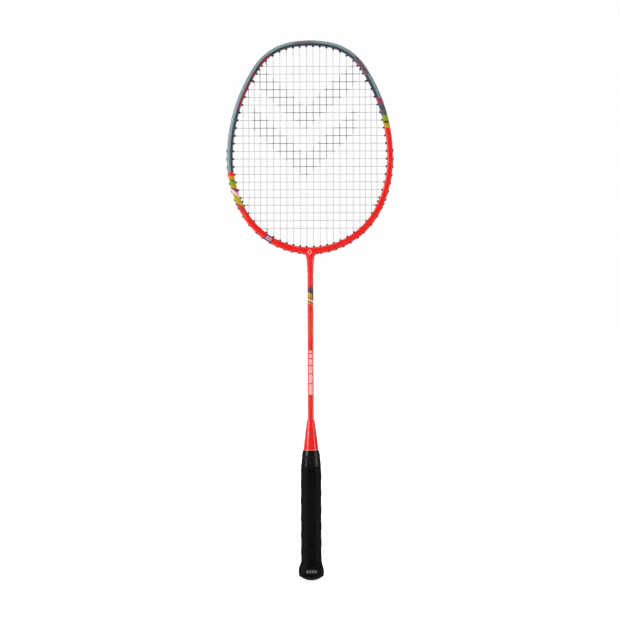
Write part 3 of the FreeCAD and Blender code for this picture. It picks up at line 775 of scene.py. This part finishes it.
def metal_finish(name, tint, brush):
    """Brushed or drawn metal with faint stains, its lines along the racket."""
    finish = Finish(name, {"Metallic": 1.0})
    lines = finish.noise(brush, 2.0, (1.0, 1.0, 0.03))
    stain = finish.noise(7.0, 3.0).fade(0.5, 0.75)
    colour = finish.mix(stain * 0.35, tint, srgb(120, 116, 108))
    return finish.surface(colour, lines * 0.25 + stain * 0.15 + 0.22, lines, 0.03)


# ---------------------------------------------------------------- head frame
def frame_section(width, groove):
    """Half of the frame's section, from the outer middle to the inner middle, as (across, depth) pairs."""
    corner = [math.radians(angle) for angle in (22.5, 45.0, 67.5)]
    flat = HALF_DEPTH - FRAME_ROUND
    outer = [(width - FRAME_ROUND * (1 - math.cos(a)), flat + FRAME_ROUND * math.sin(a)) for a in corner]
    inner = [(width - x, y) for x, y in outer[::-1]]
    lip = 0.12
    return (
        [(width - groove, 0.0), (width - groove, GROOVE_HALF - 0.2)]
        + [(width - groove * 0.85, GROOVE_HALF - 0.05), (width - groove * lip, GROOVE_HALF)]
        + [(width, GROOVE_HALF + 0.15), (width, flat)]
        + outer
        + [(width - FRAME_ROUND, HALF_DEPTH), (width / 2, HALF_DEPTH), (FRAME_ROUND, HALF_DEPTH)]
        + inner
        + [(0.0, flat), (0.0, flat / 2), (0.0, 0.0)]
    )


def frame_column(turn, side):
    """The points of the frame's whole section at a turn, and how far across it each lies."""
    outer = outer_edge.point(turn)
    inner = inner_edge.point(turn)
    width = (outer - inner).length
    groove = groove_depth(turn)
    if turn > 90:
        low, high = GROOVE_FADE
        groove *= min(max((outer.x - low) / (high - low), 0.0), 1.0)
    half = frame_section(width, groove)
    whole = half + [(s, -y) for s, y in half[-2:0:-1]]
    points = []
    for s, y in whole:
        place = inner + (outer - inner) * (s / width)
        points.append(Vector((side * place.x, y, place.z)))
    return points, [s / width for s, _ in whole]


def boss_radius(z):
    """Half of the boss's width seen from the front, at a height."""
    waist = HEAD_BOTTOM - BOSS_WAIST_DROP
    if z < waist:
        share = (waist - z) / (BOSS_LENGTH - BOSS_WAIST_DROP)
        return BOSS_WAIST_RADIUS + (BOSS_FOOT_RADIUS - BOSS_WAIST_RADIUS) * share
    rise = BOSS_WAIST_DROP + BOSS_WALL
    run = BOSS_TOP_RADIUS - BOSS_WAIST_RADIUS
    flare = (rise * rise + run * run) / (2 * run)
    return BOSS_WAIST_RADIUS + flare - math.sqrt(flare * flare - (z - waist) ** 2)


def add_boss(skin, edge_loop):
    """Grows the boss out of a gap in the underside of the ring, down to its foot on the shaft."""
    rim = [skin.points[number] for number in edge_loop]
    angles = [math.atan2(p.y / BOSS_HALF_DEPTH, p.x / BOSS_TOP_RADIUS) for p in rim]
    bore = SHAFT_RADIUS + GAP
    outline = [(boss_radius(HEAD_BOTTOM - drop), drop) for drop in BOSS_DROPS]
    outline += [(BOSS_FOOT_RADIUS - BOSS_RIM_ROUND, BOSS_LENGTH), (bore, BOSS_LENGTH)]
    outline.append((bore, BOSS_LENGTH - BOSS_BORE_SEEN))
    previous = edge_loop
    for half_width, drop in outline:
        half_depth = min(half_width, BOSS_HALF_DEPTH)
        z = HEAD_BOTTOM - drop
        row = skin.loop([Vector((half_width * math.cos(a), half_depth * math.sin(a), z)) for a in angles])
        skin.bridge(previous, row)
        previous = row


def build_frame():
    """The lacquered frame: the grooved ring with the boss grown out of its underside."""
    turns = outer_edge.even_turns(COLUMN_SPACING)
    stations = [(turn, 1) for turn in turns] + [(turn, -1) for turn in turns[-2:0:-1]]
    skin = Skin()
    across = []
    columns = []
    for turn, side in stations:
        points, shares = frame_column(turn, side)
        columns.append(skin.loop(points))
        across += shares
    throat = len(turns) - 1
    first, last = throat - BOSS_COLUMNS, throat + BOSS_COLUMNS
    rows = len(columns[0])
    for place, column in enumerate(columns):
        following = columns[(place + 1) % len(columns)]
        for row in range(rows):
            after = (row + 1) % rows
            under_boss = row < BOSS_ROW or row >= rows - BOSS_ROW
            if first <= place < last and under_boss:
                continue
            skin.faces.append((column[row], column[after], following[after], following[row]))
    span = [*range(-BOSS_ROW, BOSS_ROW + 1)]
    edge_loop = [columns[first][row] for row in span]
    edge_loop += [columns[place][BOSS_ROW] for place in range(first + 1, last)]
    edge_loop += [columns[last][row] for row in span[::-1]]
    edge_loop += [columns[place][-BOSS_ROW] for place in range(last - 1, first, -1)]
    add_boss(skin, edge_loop)
    across += [0.5] * (len(skin.points) - len(across))
    finish = gloss_lacquer("frame_lacquer", frame_colours)
    make_piece("lacquered_frame", skin, finish, "frame_lacquer", "head_frame", smoothing=1, across=across)


# ---------------------------------------------------------------- grommets
def add_grommet(skin, hole, side):
    """One grommet: a bored barrel through the frame and a slotted head in the groove."""
    centred = (hole.floor(), normal(hole.exit_turn), hole.mouth)
    floor, out, mouth = [placed(point, side, 0.0) for point in centred]
    depth_axis = at(0, 0, 1)
    axis = (floor - mouth).normalized()
    across_axis = axis.cross(depth_axis)
    length = (floor - mouth).length
    barrel = (  # (radius, distance from the mouth), from inside the bore to the groove
        (BARREL_BORE, 1.6),
        (BARREL_BORE, 0.3),
        (BARREL_BORE + 0.08, 0.08),
        (1.12, 0.0),
        (1.27, 0.08),
        (BARREL_RADIUS, 0.3),
        (BARREL_RADIUS, 1.2),
        (BARREL_RADIUS + 0.05, length - 0.2),
    )
    skin.rows([ring_of(mouth + axis * d, across_axis, depth_axis, r, 16) for r, d in barrel])
    along_axis = out.cross(depth_axis)
    slot = GROMMET_SLOT_HALF
    top = GROMMET_HEAD_HEIGHT
    profile = [  # (depth, height) of the head, from its rim to the middle of its slot
        (-1.72, top - 0.25),
        (-1.5, top - 0.06),
        (-1.2, top),
        (-slot - 0.08, top),
        (-slot, top - 0.1),
        (-slot + 0.04, GROMMET_WEB),
        (0.0, GROMMET_WEB),
    ]
    profile += [(-y, height) for y, height in profile[-2::-1]]
    shares = (-1.0, -1.0, -0.93, -0.6, 0.0, 0.6, 0.93, 1.0, 1.0)
    rows = []
    for y, height in profile:
        half = math.sqrt(GROMMET_HEAD_RADIUS**2 - y * y)
        heights = (0.0, height - 0.2, height, height, height, height, height, height - 0.2, 0.0)
        rows.append([
            floor + along_axis * (half * s) + depth_axis * y + out * h for s, h in zip(shares, heights)
        ])
    first, last = skin.rows(rows, closed=False)
    for row, y in ((first[::-1], -GROMMET_HEAD_RADIUS), (last, GROMMET_HEAD_RADIUS)):
        base = []
        for number in row:
            along = (skin.points[number] - floor).dot(along_axis) * GROMMET_BASE_SHARE
            base.append(floor + along_axis * along + depth_axis * y)
        skin.bridge(row, skin.loop(base), closed=False)


def build_grommets():
    """The grommets in the same groups as the CAD nodes."""
    finish = grommet_finish()
    for zone, (low, high) in GROMMET_ZONES.items():
        if zone in ("crown", "throat"):
            groups = {zone: (1, -1)}
        else:
            groups = {"right_" + zone: (1,), "left_" + zone: (-1,)}
        for name, sides in groups.items():
            skin = Skin()
            for hole in holes:
                if low <= hole.exit_turn < high:
                    for side in sides:
                        add_grommet(skin, hole, side)
            make_piece(name + "_grommet_set", skin, finish, "grommet_nylon", name + "_grommets")


# ---------------------------------------------------------------- strings
def crosses_here(number, cross):
    """Whether a main string and a cross string pass each other inside the head."""
    top, bottom = hole_of[("top", number)].mouth.z, hole_of[("bottom", number)].mouth.z
    inside = bottom + MOUTH_MARGIN < cross_z(cross) < top - MOUTH_MARGIN
    return inside and main_x(number) < hole_of[cross].mouth.x - MOUTH_MARGIN


def main_is_in_front(number, side, cross):
    """Which string is nearer the front where two cross. Beside a hole it is always the cross string."""
    top, bottom = hole_of[("top", number)].mouth.z, hole_of[("bottom", number)].mouth.z
    z = cross_z(cross)
    to_hole = min(top - z, z - bottom, hole_of[cross].mouth.x - main_x(number))
    place = number if side > 0 else 1 - number
    return to_hole > NEAR_HOLE and (place + cross) % 2 == 0


def waved(marks, make_point):
    """Points along a string that swings from one mark (place, depth) to the next."""
    points = []
    for (start, depth), (end, next_depth) in zip(marks, marks[1:]):
        steps = FINE_STEPS if abs(end - start) > LONG_SPAN else COARSE_STEPS
        for step in range(steps):
            share = step / steps
            swing = (1 - math.cos(math.pi * share)) / 2
            points.append(make_point(start + (end - start) * share, depth + (next_depth - depth) * swing))
    points.append(make_point(*marks[-1]))
    return points


def main_line(number, side):
    """One main string across the bed, from its top hole to its bottom hole."""
    marks = [(hole_of[("top", number)].mouth.z, STRING_LAYER)]
    for cross in range(1, CROSSES + 1):
        if crosses_here(number, cross):
            front = main_is_in_front(number, side, cross)
            marks.append((cross_z(cross), -STRING_WEAVE if front else STRING_WEAVE))
    marks.append((hole_of[("bottom", number)].mouth.z, STRING_LAYER))
    return waved(marks, lambda z, depth: Vector((side * main_x(number), depth, z)))


def cross_line(cross):
    """One cross string over the bed, from its left hole to its right hole."""
    reach = hole_of[cross].mouth.x
    marks = [(-reach, -STRING_LAYER)]
    numbers = range(1, MAINS_EACH_SIDE + 1)
    mains = [(number, -1) for number in reversed(numbers)] + [(number, 1) for number in numbers]
    for number, side in mains:
        if crosses_here(number, cross):
            front = main_is_in_front(number, side, cross)
            marks.append((side * main_x(number), STRING_WEAVE if front else -STRING_WEAVE))
    marks.append((reach, -STRING_LAYER))
    return waved(marks, lambda x, depth: Vector((x, depth, cross_z(cross))))


def round_frame(start, end, side, layer):
    """Along the floor of the groove from one hole to another, past the holes between them."""
    low, high = sorted((holes.index(start), holes.index(end)))
    points = []
    for hole, following in zip(holes[low:high], holes[low + 1 : high + 1]):
        turned = following.exit_turn - hole.exit_turn
        climbed = following.string_offset() - hole.string_offset()
        steps = math.ceil(turned / GROOVE_STEP)
        for step in range(steps):
            share = step / steps
            turn = hole.exit_turn + turned * share
            points.append(outer_edge.point(turn, hole.string_offset() + climbed * share))
    points = points[1:]
    if start.exit_turn > end.exit_turn:
        points.reverse()
    return [placed(point, side, layer) for point in points]


def tie_off_hole(start, step, wanted):
    """The nearest hole to start that wanted accepts, looking first in the direction of step."""
    begin = holes.index(start)
    order = sorted(range(len(holes)), key=lambda place: (abs(place - begin), (begin - place) * step))
    return next(holes[place] for place in order if wanted(holes[place]))


def wrapped_end(hole, side, layer, axis):
    """The last turns of a string: it comes in through a hole and is wound round the string there."""
    inside = placed(hole.mouth, side, layer) + axis * KNOT_FROM_MOUTH
    core = Vector((inside.x, -layer, inside.z))
    towards = Vector((0.0, math.copysign(1.0, layer), 0.0))
    third = axis.cross(towards)
    points = [placed(hole.string_exit(), side, layer), placed(hole.mouth, side, layer)]
    for step in range(KNOT_STEPS + 1):
        turned = 2 * math.pi * KNOT_TURNS * step / KNOT_STEPS
        shift = axis * (KNOT_LENGTH * (step / KNOT_STEPS - 0.5))
        points.append(core + shift + (towards * math.cos(turned) + third * math.sin(turned)) * KNOT_RADIUS)
    return points


def rounded_corners(points):
    """The same path with a short arc at each sharp corner."""
    path = [points[0]]
    for before, corner, after in zip(points, points[1:], points[2:]):
        shorter = min((corner - before).length, (after - corner).length)
        if shorter < GAP:
            continue
        into = (corner - before).normalized()
        leave = (after - corner).normalized()
        turned = into.angle(leave)
        if turned < math.radians(SHARP_CORNER) or shorter < STRING_BEND:
            path.append(corner)
            continue
        reach = min(STRING_BEND * math.tan(turned / 2), 0.45 * shorter)
        start, end = corner - into * reach, corner + leave * reach
        for step in range(5):
            share = step / 4
            path.append(start.lerp(corner, share).lerp(corner.lerp(end, share), share))
    path.append(points[-1])
    return path


def main_half(side):
    """One half of the main string, from the middle of the crown to its tie-off."""
    points = []
    previous = None
    for number in range(1, MAINS_EACH_SIDE + 1):
        line = main_line(number, side)
        start, end = hole_of[("top", number)], hole_of[("bottom", number)]
        if number % 2 == 0:
            line.reverse()
            start, end = end, start
        if previous:
            points += round_frame(previous, start, side, STRING_LAYER)
        points.append(placed(start.string_exit(), side, STRING_LAYER))
        points += line
        points.append(placed(end.string_exit(), side, STRING_LAYER))
        previous = end
    tie_off = tie_off_hole(hole_of[("bottom", MAINS_EACH_SIDE)], 1, lambda hole: not hole.main)
    points += round_frame(previous, tie_off, side, STRING_LAYER)
    return points + wrapped_end(tie_off, side, STRING_LAYER, at(-side, 0))


def cross_route():
    """The cross string, from its tie-off by the crown to its tie-off by the throat."""
    layer = -STRING_LAYER
    first = tie_off_hole(hole_of[1], -1, lambda hole: not hole.cross)
    last = tie_off_hole(hole_of[CROSSES], 1, lambda hole: not hole.cross)
    points = wrapped_end(first, -1, layer, at(0, -1))[::-1]
    previous = first
    side = -1
    for cross in range(1, CROSSES + 1):
        points += round_frame(previous, hole_of[cross], side, layer)
        line = cross_line(cross)
        points.append(placed(hole_of[cross].string_exit(), side, layer))
        points += line if side < 0 else line[::-1]
        side = -side
        points.append(placed(hole_of[cross].string_exit(), side, layer))
        previous = hole_of[cross]
    points += round_frame(previous, last, side, layer)
    return points + wrapped_end(last, -1, layer, at(0, 1))


def build_strings():
    """The two lengths of string, woven through each other."""
    finish = string_finish()
    routes = {"main_string": main_half(-1)[::-1] + main_half(1), "cross_string": cross_route()}
    for node, route in routes.items():
        skin = Skin()
        tube(skin, rounded_corners(route), STRING_RADIUS, STRING_SIDES)
        make_piece("woven_" + node, skin, finish, "string_nylon", node)


# ---------------------------------------------------------------- shaft and cone
def build_shaft():
    """The tube from inside the handle to inside the boss, with rounded rims."""
    low, high = shaft_low.z, shaft_high.z
    bore = SHAFT_RADIUS - SHAFT_WALL
    soft = SHAFT_RIM_ROUND
    profile = [(bore, low + soft), (bore + soft, low), (SHAFT_RADIUS - soft, low)]
    steps = 40
    for step in range(steps + 1):
        profile.append((SHAFT_RADIUS, low + soft + (high - low - 2 * soft) * step / steps))
    profile += [(SHAFT_RADIUS - soft, high), (bore + soft, high), (bore, high - soft)]
    skin = Skin()
    first, last = skin.rows(lathe(profile, 48))
    skin.bridge(last, first)
    finish = gloss_lacquer("shaft_lacquer", shaft_colours)
    make_piece("lacquered_shaft", skin, finish, "shaft_lacquer", "shaft")


def build_cone():
    """The moulded cone, from under the grip to its rounded tip on the shaft."""
    tip = cone_high.z
    base_radius = cone_high.x
    outline = [(base_radius, HANDLE_TOP), (base_radius - 0.25, HANDLE_TOP + 11.0)]
    shoulder_z, shoulder_radius = band_high.z, base_radius - CONE_COVERED_DROP
    steps = 14
    tip_start = tip - CONE_TIP_ROUND
    for step in range(steps + 1):
        share = step / steps
        swell = CONE_SWELL * math.sin(math.pi * share)
        radius = shoulder_radius + (CONE_TIP_RADIUS - shoulder_radius) * share + swell
        outline.append((radius, shoulder_z + (tip_start - shoulder_z) * share))
    bore = SHAFT_RADIUS + GAP
    outline += [(4.85, tip - 2.4), (4.62, tip - 1.2), (4.3, tip - 0.4), (4.0, tip)]
    outline += [(bore, tip), (bore, tip - 2.0), (bore, NECK_TOP + 1.0)]
    outline += [(NECK_BORE_RADIUS, NECK_TOP), (NECK_BORE_RADIUS, HANDLE_TOP)]
    skin = Skin()
    first, last = skin.rows(lathe(outline, 64))
    skin.bridge(last, first)
    finish = gloss_lacquer("cone_plastic", cone_colours)
    make_piece("moulded_cone", skin, finish, "cone_plastic", "handle_cone")


# ---------------------------------------------------------------- handle
def octagon_reach(angle, width, depth, sharpness=22.0):
    """Distance from the axis to the side of the handle's section, its corners softened by the tape."""
    cut = HANDLE_CORNER * HANDLE_DEPTH
    sides = [(0, width / 2), (90, depth / 2), (45, ((width + depth) / 2 - cut) / math.sqrt(2))]
    total = 0.0
    for direction, distance in sides:
        for turned in (direction, 180 - direction, 180 + direction, -direction):
            share = math.cos(angle - math.radians(turned)) / distance
            if share > 0:
                weight = 1.0 if direction == 45 else 0.5
                total += weight * share**sharpness
    return total ** (-1 / sharpness)


def between(stops, place):
    """The value at a place between (place, value) stops, which are in order."""
    for (low, value), (high, next_value) in zip(stops, stops[1:]):
        if place <= high:
            share = max((place - low) / (high - low), 0.0)
            smooth = share * share * (3 - 2 * share)
            return value + (next_value - value) * (share + smooth) / 2
    return stops[-1][1]


def wound_step(z, angle):
    """How far the tape stands out where a turn of it lies over the turn below."""
    above_edge = ((z / GRIP_TURN - angle / (2 * math.pi)) % 1.0) * GRIP_TURN
    rise = min(above_edge / 0.6, 1.0)
    if above_edge < GRIP_OVERLAP:
        return GRIP_STEP * rise
    fall = min((above_edge - GRIP_OVERLAP) / (1.2 * GRIP_OVERLAP), 1.0)
    return GRIP_STEP * (0.5 + 0.5 * math.cos(math.pi * fall))


def grip_reach(z, angle):
    """Distance from the axis to the wound tape's surface."""
    flare = between([(grip_low.z + rise, extra) for rise, extra in BUTT_FLARE], z)
    width = HANDLE_WIDTH + flare
    depth = HANDLE_DEPTH + flare
    flat_sided = octagon_reach(angle, width, depth) + GRIP_THICKNESS
    round_radius = between(((HANDLE_TOP - 3, 11.2), (HANDLE_TOP + 12, 11.1), (grip_high.z, 9.55)), z)
    roundness = min(max((z - HANDLE_TOP + 3) / 15.0, 0.0), 1.0)
    step_share = min(max((HANDLE_TOP + 6 - z) / 8.0, 0.0), 1.0) * min(max((z - grip_low.z) / 4.0, 0.3), 1.0)
    return flat_sided + (round_radius - flat_sided) * roundness + wound_step(z, angle) * step_share


def round_section(z, reach, sides):
    """Points round the long axis at a height, each as far out as reach says for its angle."""
    angles = [2 * math.pi * side / sides for side in range(sides)]
    return [Vector((reach(a) * math.cos(a), reach(a) * math.sin(a), z)) for a in angles]


def build_grip():
    """The tape wound up the handle, from the flared butt to the cone."""
    sides = 120
    low, high = grip_low.z, grip_high.z
    steps = 320
    rows = []
    for step in range(steps + 1):
        z = low + (high - low) * step / steps
        rows.append(round_section(z, lambda a, z=z: grip_reach(z, a), sides))
    inner_top = round_section(high, lambda a: cone_high.x - 0.9, sides)
    flare = BUTT_FLARE[0][1]
    inner_bottom = round_section(
        low, lambda a: octagon_reach(a, HANDLE_WIDTH + flare, HANDLE_DEPTH + flare), sides
    )
    skin = Skin()
    skin.rows([inner_bottom] + rows + [inner_top])
    make_piece("wound_grip", skin, grip_finish(), "grip_tape", "grip_tape")


def build_band():
    """The finishing tape, wound down over the grip's upper end so that its turns overlap."""
    low, lap, high = BAND_OVER_GRIP, band_low.z, band_high.z
    bottom_radius, top_radius = band_high.x, cone_high.x - 0.5
    sides = 160

    def reach(z, angle):
        share = max((z - lap) / (high - lap), 0.0)
        lapped = BAND_LAP if (angle % (2 * math.pi)) < BAND_LAP_END else 0.0
        pucker = 0.06 * math.sin(9 * angle + 2.0) * (1 - share)
        over_cone = bottom_radius + (top_radius - bottom_radius) * share**1.3 - 0.2
        over_grip = grip_reach(z, angle) + BAND_STANDS_OUT
        blended = min(max((z - lap + BAND_BLEND) / BAND_BLEND, 0.0), 1.0)
        return over_grip + (over_cone - over_grip) * blended + lapped + pucker

    heights = [low, low + 0.1, low + 0.3] + [low + (high - low) * s / 36 for s in range(1, 36)]
    heights += [high - 0.3, high - 0.1, high]
    rows = []
    for z in heights:
        edge = 0.18 if z in (low, high) else 0.0
        rows.append(round_section(z, lambda a, z=z, edge=edge: reach(z, a) - edge, sides))
    inner = [round_section(z, lambda a, z=z: reach(z, a) - 0.45, sides) for z in (high, low)]
    skin = Skin()
    first, last = skin.rows(rows + inner)
    skin.bridge(last, first)
    make_piece("vinyl_band", skin, band_finish(), "finishing_tape", "finishing_tape")


def build_butt_cap():
    """The domed cap under the butt, with the plug that goes up into the handle."""
    cap_top = grip_low.z
    widest = HANDLE_WIDTH + BUTT_FLARE[0][1] + CAP_OVERHANG
    deepest = HANDLE_DEPTH + BUTT_FLARE[0][1] + CAP_OVERHANG
    sides = 96

    def reach(dome, angle):
        return (dome**-14 + octagon_reach(angle, widest, deepest) ** -14) ** (-1 / 14)

    rows = [round_section(0.0, lambda a: CAP_FLAT_RADIUS * 0.6, sides)]
    steps = 16
    for step in range(steps + 1):
        share = step / steps
        dome = CAP_FLAT_RADIUS + (widest / 2 + 0.3 - CAP_FLAT_RADIUS) * share
        lift = cap_top * share - CAP_BULGE * math.sin(math.pi * share)
        rows.append(round_section(max(lift, 0.02 * share), lambda a, dome=dome: reach(dome, a), sides))
    plug_top = cap_top + CAP_PLUG_LENGTH
    plug = (
        (CAP_PLUG_RADIUS, cap_top),
        (CAP_PLUG_RADIUS, plug_top - CAP_PLUG_ROUND),
        (CAP_PLUG_RADIUS - CAP_PLUG_ROUND, plug_top),
    )
    rows += [round_section(z, lambda a, radius=radius: radius, sides) for radius, z in plug]
    skin = Skin()
    first, last = skin.rows(rows)
    skin.fan(first[::-1], at(0, 0))
    skin.fan(last, at(0, plug_top))
    make_piece("domed_butt_cap", skin, butt_finish(), "butt_plastic", "butt_cap")


def finish_inner_parts():
    """Gives the hidden CAD parts their materials."""
    finishes = {
        "joint_insert": metal_finish("joint_aluminium", srgb(208, 209, 212), 0.3),
        "handle_core": wood_finish(),
        "grip_staple": metal_finish("staple_steel", srgb(190, 190, 192), 0.15),
    }
    for node, finish in finishes.items():
        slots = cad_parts[node].data.materials
        slots.clear()
        slots.append(finish.material)


# ---------------------------------------------------------------- studio
VIEW_HEIGHT = 337.8  # of the camera
VIEW_WIDTH = 776.2  # what the camera takes in at the racket
VIEW_SHIFT = -0.65  # sideways, from the racket's middle
VIEW_ROLL = 0.19  # degrees
CAMERA_DISTANCE = 2400.0
SENSOR = 36.0
LIT_PLACE = (0.0, 0.0, 0.34)  # where the lights point, in metres
ROOM_LIGHT = 0.12  # strength of the white room as a light
FLOOR_REACH = 30.0  # metres from the racket to the floor's edges


def build_camera():
    """A long lens square on to the front of the racket."""
    data = bpy.data.cameras.new("camera")
    data.sensor_width = SENSOR
    data.lens = SENSOR * CAMERA_DISTANCE / VIEW_WIDTH
    data.clip_end = 100.0
    camera = bpy.data.objects.new("camera", data)
    camera.location = at(VIEW_SHIFT, VIEW_HEIGHT, -CAMERA_DISTANCE) * MM
    camera.rotation_euler = (math.radians(90), math.radians(VIEW_ROLL), 0.0)
    bpy.context.scene.collection.objects.link(camera)
    bpy.context.scene.camera = camera


def add_light(name, place, size, power):
    """A soft square light that points at the middle of the racket. Its place and size are in metres."""
    data = bpy.data.lights.new(name, "AREA")
    data.size = size
    data.energy = power
    light = bpy.data.objects.new(name, data)
    light.location = place
    towards = Vector(LIT_PLACE) - light.location
    light.rotation_mode = "QUATERNION"
    light.rotation_quaternion = towards.to_track_quat("-Z", "Y")
    bpy.context.scene.collection.objects.link(light)


def build_studio():
    """A white room with a pale floor and soft lights from both sides and above."""
    scene = bpy.context.scene
    scene.view_settings.view_transform = "Standard"
    world = bpy.data.worlds.new("studio")
    scene.world = world
    world.use_nodes = True
    tree = world.node_tree
    background = next(n for n in tree.nodes if n.type == "BACKGROUND")
    background.inputs["Color"].default_value = (1.0, 1.0, 1.0, 1.0)
    rays = tree.nodes.new("ShaderNodeLightPath")
    level = tree.nodes.new("ShaderNodeMapRange")
    level.inputs["To Min"].default_value = ROOM_LIGHT
    level.inputs["To Max"].default_value = 1.0
    tree.links.new(rays.outputs["Is Camera Ray"], level.inputs["Value"])
    tree.links.new(level.outputs["Result"], background.inputs["Strength"])
    add_light("key", (-1.7, -0.9, 0.9), 1.0, 32.0)
    add_light("fill", (1.8, -0.7, 0.5), 1.0, 13.0)
    add_light("top", (0.0, -0.9, 2.3), 1.2, 12.0)
    add_light("back", (0.4, 1.8, 1.0), 1.6, 10.0)
    paper = Finish("floor_paper", {"Specular IOR Level": 0.0, "Emission Strength": 1.0})
    fibre = paper.noise(3.0, 3.0)
    away = paper.node("ShaderNodeVectorMath", {"operation": "LENGTH"}, (paper.place,), output="Value")
    seen = paper.node("ShaderNodeLightPath", output="Is Camera Ray")
    glow = paper.mix(away.fade(150.0, 1200.0) * seen, srgb(228, 228, 228), srgb(255, 255, 255))
    glow = paper.mix(seen, srgb(90, 90, 90), glow)
    paper.tree.links.new(glow.socket, paper.shader.inputs["Emission Color"])
    paper.surface(paper.mix(fibre, srgb(240, 240, 240), srgb(248, 248, 248)), fibre * 0.1 + 0.8, fibre, 0.05)
    floor_mesh = bpy.data.meshes.new("floor")
    signs = ((-1, -1), (1, -1), (1, 1), (-1, 1))
    corners = [(FLOOR_REACH * x, FLOOR_REACH * y, 0.0) for x, y in signs]
    floor_mesh.from_pydata(corners, [], [(0, 1, 2, 3)])
    floor_mesh.materials.append(paper.material)
    floor = bpy.data.objects.new("floor", floor_mesh)
    scene.collection.objects.link(floor)


build_camera()
build_studio()
build_frame()
build_grommets()
build_strings()
build_shaft()
build_cone()
build_grip()
build_band()
build_butt_cap()
finish_inner_parts()
